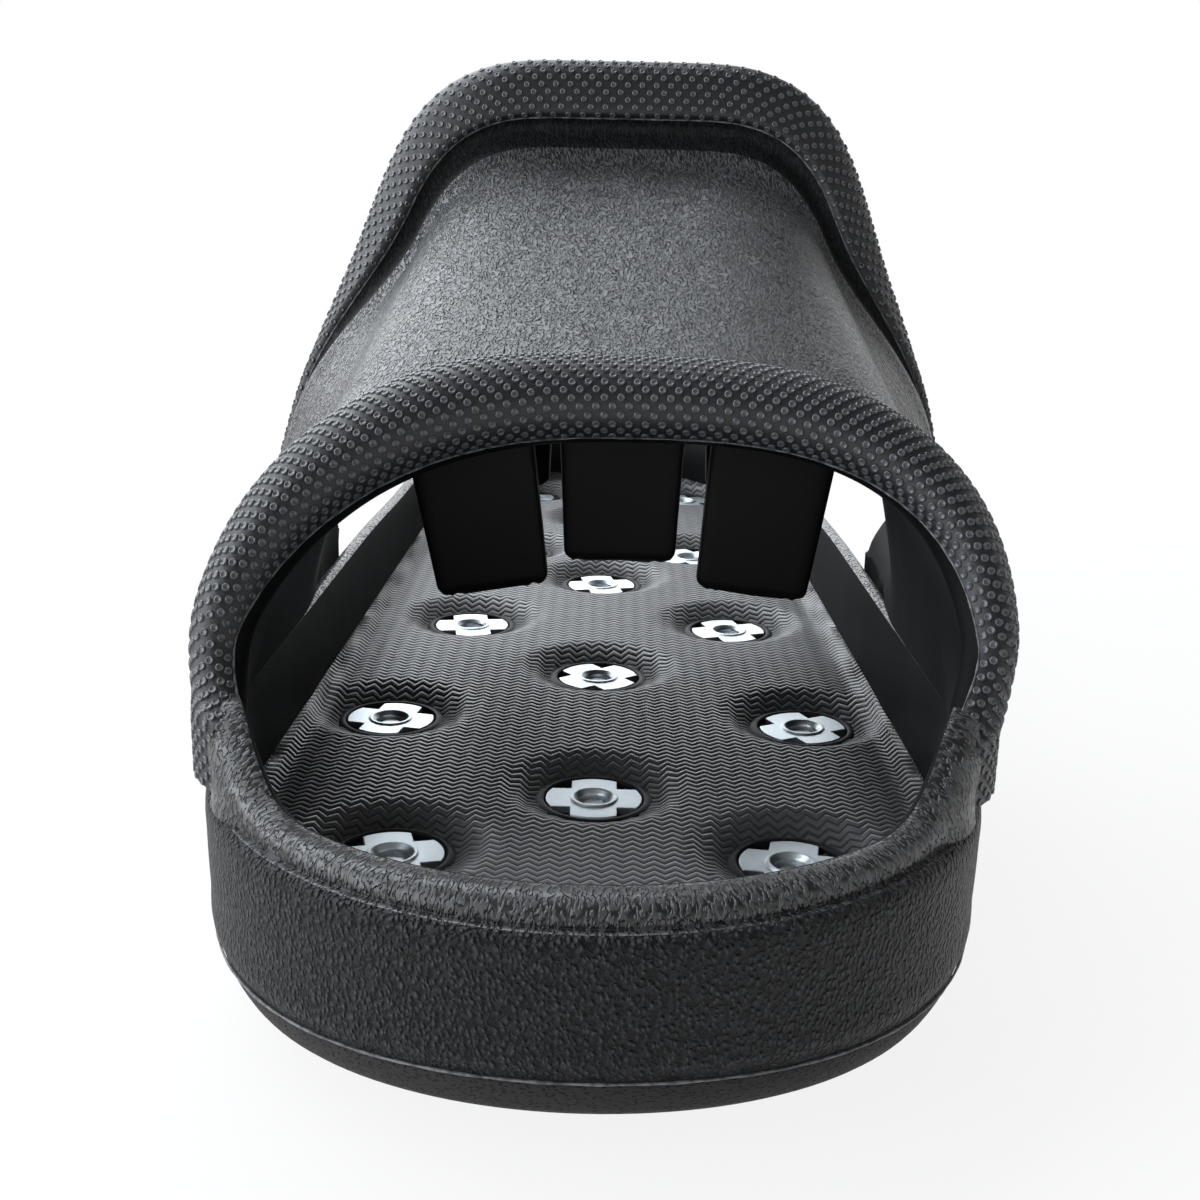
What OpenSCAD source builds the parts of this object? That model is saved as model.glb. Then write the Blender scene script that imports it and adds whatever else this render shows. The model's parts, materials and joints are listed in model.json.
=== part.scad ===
// Anti-slip overshoe: a foam sole tray with an arched instep upper, hanging grip fins,
// and steel studs screwed up through the sole into tee nuts.
// Millimetres. The toe points to -Y, the heel to +Y, and the stud tips stand on z = 0.

/* [Sole plan] */
// Overall length of the sole, toe to heel
sole_len = 320; // [300:1:340]
// Width that the tapering sides would have at the toe end
toe_w = 128; // [120:1:140]
// Width that the tapering sides would have at the heel end
heel_w = 101; // [90:1:110]
// Length of the elliptical toe end
toe_depth = 64; // [50:1:70]
// Length of the elliptical heel end
heel_depth = 54; // [44:1:64]

/* [Sole layers] */
// Thickness of the outsole
outsole_t = 7.4; // [6:0.5:10]
// Foam of the tray between outsole and footbed
tray_floor_t = 10.6; // [9:0.5:16]
// Thickness of the ribbed footbed
footbed_t = 6; // [5:0.5:8]
// Gap between the footbed's edge and the tray wall
footbed_gap = 0.3; // [0.1:0.1:0.6]
// How far the toe end of the sole curves up
toe_spring = 2; // [0:0.5:8]
// Length over which the toe curves up
toe_spring_len = 30; // [20:1:32]
// How far the heel end of the sole curves up
heel_spring = 2.5; // [0:0.5:5]
// Length over which the heel curves up
heel_spring_len = 24; // [15:1:24]

/* [Tray wall] */
// Thickness of the wall along the sides
side_wall = 6; // [5:0.5:7]
// Thickness of the toe bumper
toe_wall = 10.5; // [9:0.5:14]
// Thickness of the heel wall
heel_wall = 10; // [8:0.5:16]
// Height of the ledge line above the footbed
ledge_h = 6.5; // [4:0.5:7]
// Depth of the rim's outer face behind the widest part of the wall
rim_inset = 2.2; // [1.5:0.1:2.6]
// Rim height above the footbed at the toe
rim_toe_h = 9.8; // [9:0.5:12]
// Rim height above the footbed under the upper
rim_side_h = 17; // [14:0.5:22]
// Rim height above the footbed round the heel
rim_heel_h = 15.5; // [12:0.5:18]

/* [Upper] */
// Distance from the toe to the front of the upper at its base
upper_front = 46; // [40:1:56]
// Distance from the toe to the back of the upper at its base
upper_back = 158; // [150:1:175]
// Distance from the toe to the front of the upper at its crown
crown_front = 84; // [76:1:95]
// Distance from the toe to the back of the upper at its crown
crown_back = 195.5; // [186:0.5:205]
// Height of the front arch above the footbed, inside
arch_h = 54; // [48:0.5:62]
// Height of the panel above the footbed where the rear collar starts, inside
instep_h = 102; // [96:0.5:106]
// Rise of the flared rear collar at the crown
flare_crown = 14; // [10:0.5:20]
// Outward flare of the rear collar at its sides
flare_side = 14; // [8:0.5:16]
// Sideways lean of the upper's crown at its front
crown_shift = 4.2; // [0:0.2:5]
// Height of the upper's lower edge above the footbed
skirt_h = 8; // [7.5:0.5:10]
// Thickness of the panel
panel_t = 5.5; // [4:0.5:7]
// Thickness of the rolled front bead at the crown
bead_t = 12.8; // [10:0.2:15]
// Thickness of the rear collar's band
band_t = 9; // [7:0.5:11]
// Gap between the upper's skirt and the tray's rim
skirt_gap = 0.25; // [0.1:0.05:0.5]

/* [Grip fins] */
// Width of a fin at its root
fin_root_w = 22.5; // [18:0.5:24]
// Width of a fin at its tip
fin_tip_w = 20; // [14:0.5:21]
// Thickness of a fin at its root
fin_root_t = 6; // [4:0.5:7]
// Thickness of a fin at its tip
fin_tip_t = 4.6; // [3:0.2:5]
// Height of the middle front fin's tip above the footbed
front_tip_h = 28.5; // [24:0.5:34]
// Height of the middle rear fin's tip above the footbed
rear_tip_h = 36; // [28:0.5:40]
// How much lower the tips of the outer fins hang
outer_drop = 5.5; // [0:0.5:6]
// Distance between the middles of neighbouring fins
fin_pitch = 27.5; // [26:0.5:29]
// Sideways shift of the front fins from the middle
front_shift = 3.5; // [0:0.5:4]
// Sideways shift of the rear fins from the middle
rear_shift = 5.5; // [3:0.5:6]
// Lean of the outer fins' roots, as a share of the slope that they hang from
fin_lean = 0.6; // [0.5:0.05:1]
// Lean of the outer front fins' blades, as a share of that slope
front_hang = 0.6; // [0.3:0.05:0.8]
// Lean of the outer rear fins' blades, as a share of that slope
rear_hang = 0; // [0:0.05:0.2]
// Place of the front fins, as a share of the upper from front to back
front_fin_at = 0.14; // [0.13:0.01:0.2]
// Place of the rear fins, as a share of the upper from front to back
rear_fin_at = 0.62; // [0.55:0.01:0.68]
// Gap between a fin's root and the upper
fin_gap = 0.35; // [0.3:0.05:0.6]

/* [Studs and tee nuts] */
// How far a stud stands out of the outsole
stud_out = 6; // [4:0.5:9]
// Diameter of the stud's threaded shank
shank_d = 5; // [4:0.5:6]
// Width of the stud's hexagon across its flats
hex_w = 8; // [7:0.5:10]
// Diameter of the stud's flange
stud_flange_d = 12; // [10:0.5:14]
// Thickness of the stud's flange
stud_flange_t = 1.5; // [1:0.1:2]
// Diameter of the carbide tip
tip_d = 3; // [2:0.1:4]
// How far the tip stands out of the hexagon
tip_out = 1.4; // [1:0.1:2.5]
// Diameter of the tee nut's flange
nut_flange_d = 16; // [14:0.5:19]
// Width of the flange's four arms
nut_arm_w = 7.6; // [7:0.1:8.5]
// Thickness of the tee nut's sheet
nut_sheet_t = 1.2; // [0.8:0.1:1.6]
// Length of the tee nut's barrel, under its flange
nut_barrel_len = 10; // [7:0.5:12]
// Wall of the tee nut's barrel
nut_barrel_t = 0.8; // [0.6:0.1:1.1]
// Depth of the tee nut's flange below the footbed's face
nut_sink = 2.4; // [1.5:0.1:3]
// Length of the tee nut's prongs
prong_len = 5; // [3:0.5:7]
// Distance of the widest pair of studs from the tray's inner wall
pair_margin = 15.3; // [14:0.1:20]

/* [Hidden] */
$fn = 48;
// Heights of the layers above the floor
outsole_z = stud_out;
tray_z = outsole_z + outsole_t;
floor_z = tray_z + tray_floor_t;
foot_z = floor_z + footbed_t;
ledge_z = foot_z + ledge_h;
skirt_z = foot_z + skirt_h;
rim_top_z = foot_z + rim_side_h;
// Number of steps along one side of a sole outline
steps = 26;
// Rows of studs as shares of the sole's length, toe to heel: five pairs and four middle ones
pair_at = [0.131, 0.312, 0.497, 0.694, 0.897];
middle_at = [0.203, 0.394, 0.606, 0.797];
// Half-spacing of each pair, as a share of the widest
row_half = [0.79, 1, 0.74, 0.59, 0.6];
row_names = ["toe", "ball", "waist", "arch", "heel"];
last_row = len(row_half) - 1;
side_names = ["left", "right"];
// Where the rim's rise starts and ends in front of the upper, and the length of its fall behind the upper
rise_start = 22;
rise_end = 2;
fall_len = 60;
// Turn of each tee nut about its own axis: pairs first, then the middle ones
nut_turn = [14, -10, -12, 27, 8, 18, -20, 33, 5, 21, 0, 38, 12, -8];

// Distance from the toe as a place along Y
function at(d) = d - sole_len / 2;
function smooth(a, b, x) = let (t = min(1, max(0, (x - a) / (b - a)))) t * t * (3 - 2 * t);

// Half-width of the tapering sides at a distance from the toe
function side_x(d) = (toe_w + (heel_w - toe_w) * d / sole_len) / 2;

// Every stud: its name and its place in plan
pair_half = side_x(pair_at[1] * sole_len) - side_wall - pair_margin;
stud_names = concat(
    [for (r = [0:last_row], s = [0, 1]) str(row_names[r], "_", side_names[s])],
    [for (r = [0:last_row - 1]) str(row_names[r], "_middle")]);
stud_xy = concat(
    [for (r = [0:last_row], s = [-1, 1]) [s * row_half[r] * pair_half, at(pair_at[r] * sole_len)]],
    [for (d = middle_at) [0, at(d * sole_len)]]);
last_stud = len(stud_xy) - 1;

// Sole plan

// Rounding of an end of the plan: 0 at its tip, 1 where the straight side begins
function end_round(e, depth) = e >= depth ? 1 : sqrt(max(0, 1 - pow(1 - e / depth, 2)));

// One ring of the plan: insets from the side, the toe and the heel
function ring_d(i, toe_in, heel_in) =
    toe_in + (sole_len - toe_in - heel_in) * (1 - cos(180 * i / steps)) / 2;
function ring_x(d, side_in, toe_in, heel_in) =
    (side_x(d) - side_in) * end_round(d - toe_in, toe_depth - toe_in)
    * end_round(sole_len - heel_in - d, heel_depth - heel_in);
function half_ring(side_in, toe_in, heel_in) =
    [for (i = [0:steps]) let (d = ring_d(i, toe_in, heel_in)) [ring_x(d, side_in, toe_in, heel_in), d]];
function plan(side_in, toe_in, heel_in) = let (h = half_ring(side_in, toe_in, heel_in))
    concat([for (p = h) [p[0], at(p[1])]], [for (i = [steps - 1:-1:1]) [-h[i][0], at(h[i][1])]]);

// Curl of the sole's underside at its two ends
function spring(d) = toe_spring * pow(max(0, 1 - d / toe_spring_len), 2)
    + heel_spring * pow(max(0, 1 - (sole_len - d) / heel_spring_len), 2);

// Height of the tray's rim at a distance from the toe
function rim_z(d) = foot_z + rim_toe_h
    + (rim_side_h - rim_toe_h) * smooth(upper_front - rise_start, upper_front - rise_end, d)
    + (rim_heel_h - rim_side_h) * smooth(upper_back, upper_back + fall_len, d);

// A closed skin over stacked rings of the plan, with a cap across the first and the last ring
module skin(rings) {
    n = 2 * steps;
    last = len(rings) - 1;
    points = [for (r = rings, p = r) p];
    walls = [for (k = [0:last - 1], i = [0:n - 1]) let (j = (i + 1) % n, a = k * n, b = a + n)
        each [[a + i, b + i, a + j], [a + j, b + i, b + j]]];
    cap = [for (i = [0:steps - 1])
        i == 0 ? [0, 1, n - 1] : i == steps - 1 ? [i, steps, n - i] : [i, i + 1, n - i - 1, n - i]];
    top = [for (f = cap) [for (i = [len(f) - 1:-1:0]) last * n + f[i]]];
    polyhedron(points, concat(walls, cap, top), convexity = 6);
}

// A ring at a height, lifted by its share of the sole's curl
function layer(side_in, toe_in, heel_in, z, curl) = [for (p = plan(side_in, toe_in, heel_in))
    [p[0], p[1], z + curl * spring(p[1] + sole_len / 2)]];

// A ring at a share of the rim's height above the ledge
function rim_layer(side_in, toe_in, heel_in, share) = [for (p = plan(side_in, toe_in, heel_in))
    [p[0], p[1], ledge_z + share * (rim_z(p[1] + sole_len / 2) - ledge_z)]];

// Upper

// Share of the section, at each end, that is the straight skirt, and the least thickness of its front edge
skirt_share = 0.1;
skirt_edge = 0.8;
// Where the flare of the rear collar starts and levels off at the sides, as shares of the upper from front to back,
// and where it starts at the crown
side_flare = [0.45, 0.95];
crown_flare = 0.8;
// Share of the side flare at the collar's base, and the share of the arch's height over which it opens
flare_base = 0.46;
flare_rise = 0.14;
// Heights, as shares of the arch, where the sides' flare turns into the crown's, and where its size does
flare_turn = [0.3, 0.8];
flare_grow = [0.5, 1];
// Powers that square the arch's shoulders: at the front, and their growth towards the back
arch_power = [3, 3, 3];
// How much softer the left shoulder is at the front, where that ends, and how much fuller the bead is there
left_soft = 0.6;
soft_end = 0.6;
left_full = 0.26;
// Places on the section between which the fuller bead swells and falls again
full_span = [0.5, 0.68, 0.72, 0.9];
// Share of the lean that is lost at the back, and how much lower down it starts there
lean_loss = 0.3;
lean_low = 0.5;
// Narrowing of the crown at the front and the back
crown_narrow = [0.02, 0.4];
// Powers of the height by which the section narrows and rakes back, and the height where its bulge is full
narrow_power = 1.3;
rake_power = 1.2;
bulge_full = 0.35;
// Share of the crown's rise that comes late, the bead's share at its base, and the skirt's extra thickness
crown_bow = 0.25;
bead_base = 0.62;
skirt_extra = 1.3;
// Share of the collar's band at its sides, and the heights, as shares of the arch, between which it thickens
band_side = 0.84;
band_grow = [0.4, 0.9];

// The arch springs from just above the rim
spring_z = rim_top_z + skirt_gap;

// Places along the upper: its base, its crown and the height of its crown
function base_d(v) = upper_front + (upper_back - upper_front) * v;
function crown_d(v) = crown_front + (crown_back - crown_front) * v;
function crown_z(v) = foot_z + arch_h + (instep_h - arch_h) * v * (1 - crown_bow + crown_bow * v);

// A rounded arch of unit size, [across, up], at an angle from one base to the other
function arch(a, n) = let (r = pow(pow(abs(cos(a)), n) + pow(abs(sin(a)), n), -1 / n)) [r * cos(a), r * sin(a)];
function arch_at(t, v) = arch(180 * min(1, max(0, (t - skirt_share) / (1 - 2 * skirt_share))),
    arch_power[0] + arch_power[1] * v + arch_power[2] * pow(max(0, v), 3)
        - (t > 0.5 ? left_soft * (1 - smooth(0, soft_end, v)) : 0));
// Height in the skirt: 0 at its lower edge, 1 from the spring of the arch on
function skirt_at(t) = min(1, min(t, 1 - t) / skirt_share);

// Half-width of the tray's inner wall and of its rim's outer face
function wall_x(d) = ring_x(d, side_wall, toe_wall, heel_wall);
function rim_x(d) = ring_x(d, rim_inset, rim_inset, rim_inset);

// Inner face of the upper without its flare, over t from base to base and v from front to back:
// it starts flush with the tray's inner wall and bulges to the full width of the sole above it
function bare(t, v) = let (p = arch_at(t, v), d = base_d(v), open = smooth(0, bulge_full, p[1]))
    [(wall_x(d) + (side_x(d) - side_wall - wall_x(d)) * open) * p[0]
         * (1 - (crown_narrow[0] + (crown_narrow[1] - crown_narrow[0]) * v) * pow(p[1], narrow_power))
         + crown_shift * (1 - lean_loss * v) * pow(p[1], 1 - lean_low * max(0, v)),
     at(d + (crown_d(v) - d) * pow(p[1], rake_power)),
     skirt_z + (spring_z - skirt_z) * skirt_at(t) + (crown_z(v) - spring_z) * p[1]];

function unit(p) = p / norm(p);
function bare_normal(t, v) =
    unit(cross(bare(t, v + 0.01) - bare(t, v - 0.01), bare(min(1, t + 0.004), v) - bare(max(0, t - 0.004), v)));
function flare(t, v) = let (up = arch_at(t, v)[1], high = smooth(flare_turn[0], flare_turn[1], up),
        side = smooth(side_flare[0], side_flare[1], v), crown = pow(max(0, (v - crown_flare) / (1 - crown_flare)), 2))
    (side + (crown - side) * high)
    * (flare_side * (flare_base + (1 - flare_base) * smooth(0, flare_rise, up))
        + (flare_crown - flare_side) * smooth(flare_grow[0], flare_grow[1], up));

// Inner face of the upper with its flare, and its outward normal
function inner(t, v) = bare(t, v) + bare_normal(t, v) * flare(t, v);
function normal(t, v) =
    unit(cross(inner(t, v + 0.006) - inner(t, v - 0.006), inner(min(1, t + 0.006), v) - inner(max(0, t - 0.006), v)));

// Stations of the upper's profile from front to back:
// outer place, shares of the bead, panel and band thickness there, inner place, inner lift
stations = [
    [-0.030, 0.20, 0, 0, 0.000, 0],
    [-0.045, 0.46, 0, 0, 0.012, 0],
    [-0.036, 0.73, 0, 0, 0.030, 0],
    [-0.005, 0.93, 0, 0, 0.050, 0],
    [0.035, 1.00, 0, 0, 0.080, 0],
    [0.075, 0.90, 0, 0, 0.110, 0],
    [0.115, 0.55, 0.25, 0, 0.140, 0],
    [0.155, 0.20, 0.70, 0, 0.170, 0],
    [0.215, 0, 1, 0, 0.215, 0],
    [0.30, 0, 1, 0, 0.30, 0],
    [0.40, 0, 1, 0, 0.40, 0],
    [0.50, 0, 1, 0, 0.50, 0],
    [0.60, 0, 1, 0, 0.60, 0],
    [0.70, 0, 1, 0, 0.70, 0],
    [0.78, 0, 1, 0, 0.78, 0],
    [0.84, 0, 1, 0, 0.84, 0],
    [0.89, 0, 1, 0, 0.89, 0],
    [0.925, 0, 0.95, 0, 0.925, 0],
    [0.935, 0, 0, 0.96, 0.940, 0],
    [0.965, 0, 0, 1, 0.965, 0],
    [0.990, 0, 0, 0.97, 0.985, 0],
    [1.008, 0, 0, 0.75, 1.000, 0.03],
    [1.016, 0, 0, 0.45, 1.008, 0.16]];
// The bead and the band are thinner at the sides than at the crown, and the panel thicker at the skirt
function bead_at(t) = bead_t * (bead_base + (1 - bead_base) * arch_at(t, 0)[1])
    * (1 + left_full * smooth(full_span[0], full_span[1], t) * (1 - smooth(full_span[2], full_span[3], t)));
function panel_at(t) = panel_t + skirt_extra * (1 - smooth(0, bulge_full, arch_at(t, 0)[1]));
function band_at(t) = band_t * (band_side + (1 - band_side) * smooth(band_grow[0], band_grow[1], arch_at(t, 1)[1]));
function outer_lift(s, t) = s[1] * bead_at(t) + s[2] * panel_at(t) + s[3] * band_at(t);
// In the skirt both sides of a profile stay outside the rim
function outside_rim(t, y, margin) = (t < 0.5 ? 1 : -1) * (rim_x(y + sole_len / 2) + skirt_gap + margin);
function outer_point(t, s, skirt) = let (p = inner(t, s[0]) + normal(t, s[0]) * outer_lift(s, t))
    let (least = outside_rim(t, p[1], skirt_edge)) skirt && abs(p[0]) < abs(least) ? [least, p[1], p[2]] : p;
function inner_point(t, s, skirt) = let (p = inner(t, s[4]), least = outside_rim(t, p[1], 0))
    skirt ? [abs(p[0]) < abs(least) ? least : p[0], p[1], p[2]] : p + normal(t, s[4]) * s[5] * band_t;

// Places of the section from one base over the crown to the other, and whether they are in the skirt
arch_steps = 40;
half_section = concat([[0, true], [skirt_share / 2, true], [skirt_share, true]],
    [for (i = [0:arch_steps / 2]) [skirt_share + 0.002 + (0.498 - skirt_share) * 2 * i / arch_steps, false]]);
last_half = len(half_section) - 1;
section = concat(half_section, [for (i = [last_half - 1:-1:0]) [1 - half_section[i][0], half_section[i][1]]]);

// Fins

root_r = fin_root_t / 2;
// Room between a fin's root and the curved face above it
root_room = 1.3;
fin_names = ["left", "middle", "right"];
// Place on a section where the inner face is at a distance from the middle
function find_t(x, v, lo, hi, n) = let (m = (lo + hi) / 2)
    n == 0 ? m : inner(m, v)[0] > x ? find_t(x, v, m, hi, n - 1) : find_t(x, v, lo, m, n - 1);
// A row of fins: its name, its place from front to back, its shift, the lean of its blades and its tips' height
front_row = ["front", front_fin_at, front_shift, front_hang, front_tip_h];
rear_row = ["rear", rear_fin_at, rear_shift, rear_hang, rear_tip_h];
fin_rows = [front_row, rear_row];
function fin_t(side, row) = find_t(row[2] + side * fin_pitch, row[1], 0, 1, 16);
// Slope across the face that a fin hangs from, and the tilt of its root
function face_slope(side, row) = let (t = fin_t(side, row), e = bare(t - 0.02, row[1]) - bare(t + 0.02, row[1]))
    abs(side) * atan2(-e[2], e[0]);
function fin_tilt(side, row) = fin_lean * face_slope(side, row);
// Height of the face at a distance from the middle
function face_z(x, row) = inner(find_t(x, row[1], 0, 1, 16), row[1])[2];
// The root's middle: as far from the face as its round needs, and lower where the face drops over one of its ends
function fin_root(side, row) = let (t = fin_t(side, row), tilt = fin_tilt(side, row), room = root_r + fin_gap + root_room,
        p = inner(t, row[1]) - normal(t, row[1]) * room,
        over = [for (e = [-1:0.25:1]) let (s = e * fin_root_w / 2)
            p[2] - s * sin(tilt) + room - face_z(p[0] + s * cos(tilt), row)])
    p - [0, 0, max(0, max(over))];

// Studs and tee nuts

// Radial clearances: of a stud in its nut, of a shank in the outsole and of a barrel in the foam
fit = 0.05;
shank_gap = 0.2;
barrel_gap = 0.15;
nut_seat_z = foot_z - nut_sink - nut_sheet_t;
nut_bore_d = shank_d + 2 * fit;
nut_barrel_d = nut_bore_d + 2 * nut_barrel_t;
nut_hole_d = nut_barrel_d + 2 * barrel_gap;
// Slope of the dimple round a nut, width of the boss round a stud's flange, depth of the tip in its stud
dimple_slope = 3.5;
boss_margin = 2.5;
tip_hold = 2.2;
// Raised ring round the nut's bore: its width and height
ring_w = 0.6;
ring_h = 0.3;
// Width of a prong's point, and the share of an arm's side that the prong is folded down from
point_w = 1;
prong_share = 0.8;
// Room between the nut's upper face and the stud's end, the bevel of that end, and the overlap of fused forms
thread_room = 1;
end_bevel = 0.8;
weld = 0.2;

module at_studs() {
    for (p = stud_xy) translate([p[0], p[1], 0]) children();
}

module stud_bores(d) {
    at_studs() translate([0, 0, -1]) cylinder(d = d, h = foot_z + 2);
}

// Outsole with chevron tread grooves and a boss round each stud
groove_w = 3.5;
groove_deep = 2.5;
groove_rise = 14;
groove_pitch = 0.0527;
// Profile of the outsole's edge: inset and height above its lower face
outsole_edge = [[7.5, 0], [4.6, 0.8], [2.6, 3], [1.2, outsole_t - 0.5], [1.4, outsole_t]];

module groove(d) {
    reach = toe_w / 2;
    translate([0, at(d), outsole_z - 1])
    linear_extrude(groove_deep + 1)
    polygon([[-reach, groove_rise], [0, 0], [reach, groove_rise],
        [reach, groove_rise + groove_w], [0, groove_w], [-reach, groove_rise + groove_w]]);
}

module outsole() {
    color("#1d1e20")
    difference() {
        union() {
            difference() {
                skin([for (e = outsole_edge) layer(e[0], e[0], e[0], outsole_z + e[1], 1)]);
                for (d = [0.1:groove_pitch:0.9]) groove(d * sole_len - groove_rise);
            }
            at_studs() translate([0, 0, outsole_z]) cylinder(d = stud_flange_d + 2 * boss_margin, h = groove_deep + 1);
        }
        stud_bores(shank_d + 2 * shank_gap);
    }
}

// Tray: the midsole with its toe bumper, ledge line, side walls and heel rim

// Profile of the outer wall up to the ledge: inset, height and share of the sole's curl
wall_edge = [[1.4, tray_z, 1], [0.8, tray_z + 0.8, 0.9], [0.2, tray_z + 8, 0.5], [0, ledge_z - 6, 0.1],
    [0, ledge_z - 2.5, 0], [0.4, ledge_z - 0.7, 0], [1.2, ledge_z, 0]];
// Profile of the rim's outer face: insets behind rim_inset at the side, toe and heel, and share of its height
rim_outside = [[0.3, 0.6, 0.6, 0.04], [0, 0.8, 0.6, 0.4], [0, 1.9, 1.6, 0.78], [0.6, 3.3, 2.8, 0.96]];
// Profile of the rim's top and inner face: insets before the wall's thickness, and share of its height
rim_inside = [[(side_wall - rim_inset) / 2, 3.8, 3.4, 1], [0.7, 1.7, 1.6, 0.96], [0.1, 0.3, 0.3, 0.76]];

module tray() {
    color("#26282b")
    difference() {
        skin(concat(
            [for (e = wall_edge) layer(e[0], e[0], e[0], e[1], e[2])],
            [for (e = rim_outside) rim_layer(rim_inset + e[0], rim_inset + e[1], rim_inset + e[2], e[3])],
            [for (e = rim_inside) rim_layer(side_wall - e[0], toe_wall - e[1], heel_wall - e[2], e[3])],
            [layer(side_wall, toe_wall, heel_wall, floor_z, 0)]));
        stud_bores(nut_hole_d);
    }
}

// Footbed with a dimple for each tee nut
module footbed() {
    edge = footbed_gap;
    color("#303236")
    difference() {
        translate([0, 0, floor_z])
        linear_extrude(footbed_t)
        polygon(plan(side_wall + edge, toe_wall + edge, heel_wall + edge));
        stud_bores(nut_hole_d);
        at_studs() translate([0, 0, nut_seat_z])
        cylinder(d1 = nut_flange_d + 2 * footbed_gap, d2 = nut_flange_d + 2 * dimple_slope,
            h = nut_sink + nut_sheet_t + 0.01);
    }
}

// Web that joins a fin's root to the face above it: its top follows the face, let into the panel
module fin_web(side, row) {
    let_in = 2.5;
    half = fin_root_w / 2;
    tilt = fin_tilt(side, row);
    root = fin_root(side, row);
    axis = [cos(tilt), -sin(tilt)];
    foot = [root[0], root[2]] + [sin(tilt), cos(tilt)] * (root_r + fin_gap);
    translate([0, root[1], 0])
    rotate([90, 0, 0])
    linear_extrude(fin_root_t, center = true)
    polygon(concat([foot - half * axis, foot + half * axis],
        [for (e = [1:-0.25:-1]) let (x = foot[0] + e * half * axis[0])
            [x, face_z(x, row) + let_in]]));
}

// Upper: one arched shell with a rolled bead at the front, a flared collar at the back and a web for each fin
module upper() {
    rows = len(stations);
    n = 2 * rows;
    last = len(section) - 1;
    points = [for (c = section) each concat(
        [for (s = stations) outer_point(c[0], s, c[1])],
        [for (k = [rows - 1:-1:0]) inner_point(c[0], stations[k], c[1])])];
    walls = [for (k = [0:last - 1], i = [0:n - 1]) let (j = (i + 1) % n, a = k * n, b = a + n)
        each [[a + i, b + i, a + j], [a + j, b + i, b + j]]];
    cap = [for (i = [0:rows - 2]) [i, i + 1, n - i - 2, n - i - 1]];
    top = [for (f = cap) [for (i = [3:-1:0]) last * n + f[i]]];
    color("#222427") {
        polyhedron(points, concat(walls, cap, top), convexity = 8);
        for (row = fin_rows, s = [-1, 0, 1]) fin_web(s, row);
    }
}

// Grip fin: a round root on its hinge axis and a blade that tapers to a rounded tip
module fin(side, row) {
    tip_r = fin_tip_t / 2;
    // The blade starts a little thinner than the round root, and inside it
    blade_r = root_r - 0.15;
    inside = [0, 0.5];
    corner = 3;
    length = fin_root(side, row)[2] - foot_z - row[4] + abs(side) * outer_drop;
    tilt = fin_tilt(side, row);
    hang = row[3] * face_slope(side, row);
    // The root's end, and the blade's corners at its tip, in the blade's own plane
    end = [cos(tilt - hang), -sin(tilt - hang)] * fin_root_w / 2;
    tip = fin_tip_w / 2;
    top = abs(end[1]) + 1;
    color("#2a2c30")
    translate(fin_root(side, row)) {
        rotate([0, tilt + 90, 0]) cylinder(r = root_r, h = fin_root_w, center = true);
        rotate([0, hang, 0])
        intersection() {
            rotate([90, 0, 90])
            linear_extrude(2 * fin_root_w, center = true)
            polygon([[blade_r, top], [-blade_r, top], [-blade_r, -1], [-tip_r, tip_r - length],
                [-tip_r * 0.7, tip_r * 0.3 - length], [0, -length], [tip_r * 0.7, tip_r * 0.3 - length],
                [tip_r, tip_r - length], [blade_r, -1]]);
            rotate([90, 0, 0])
            linear_extrude(2 * fin_root_t, center = true)
            polygon([inside - end, [-tip, corner - length], [corner - tip, -length], [tip - corner, -length],
                [tip, corner - length], inside + end]);
        }
    }
}

// Tee nut: a drawn barrel with a flange of four arms, and a prong folded down into the foam from a side of each
module tee_nut(i) {
    arm = nut_arm_w / 2;
    // Where an arm's side starts, at the barrel's foot in the corner between two arms, and where the rim cuts it
    side_end = sqrt(pow(nut_flange_d / 2, 2) - arm * arm);
    side_start = side_end - prong_share * (side_end - arm);
    color("#c9ccd0")
    translate([stud_xy[i][0], stud_xy[i][1], nut_seat_z])
    rotate(nut_turn[i]) {
        difference() {
            union() {
                cylinder(d = nut_flange_d, h = nut_sheet_t);
                translate([0, 0, -nut_barrel_len]) cylinder(d = nut_barrel_d, h = nut_barrel_len + weld);
                cylinder(d = nut_barrel_d + 2 * ring_w, h = nut_sheet_t + ring_h);
            }
            translate([0, 0, -nut_barrel_len - 1]) cylinder(d = nut_bore_d, h = nut_barrel_len + nut_sheet_t + 2);
            translate([0, 0, nut_sheet_t + ring_h - nut_barrel_t])
            cylinder(d1 = nut_bore_d, d2 = nut_barrel_d, h = nut_barrel_t + 0.01);
            for (k = [0:3]) rotate(90 * k)
            translate([arm, arm, -1]) cube([nut_flange_d, nut_flange_d, nut_sheet_t + 2]);
        }
        for (k = [0:3]) rotate(90 * k)
        translate([0, nut_sheet_t - arm, 0])
        rotate([90, 0, 0])
        linear_extrude(nut_sheet_t)
        polygon([[side_start, nut_sheet_t], [side_end, nut_sheet_t], [side_end, 0],
            [side_start + point_w, -prong_len], [side_start, -prong_len]]);
    }
}

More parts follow.
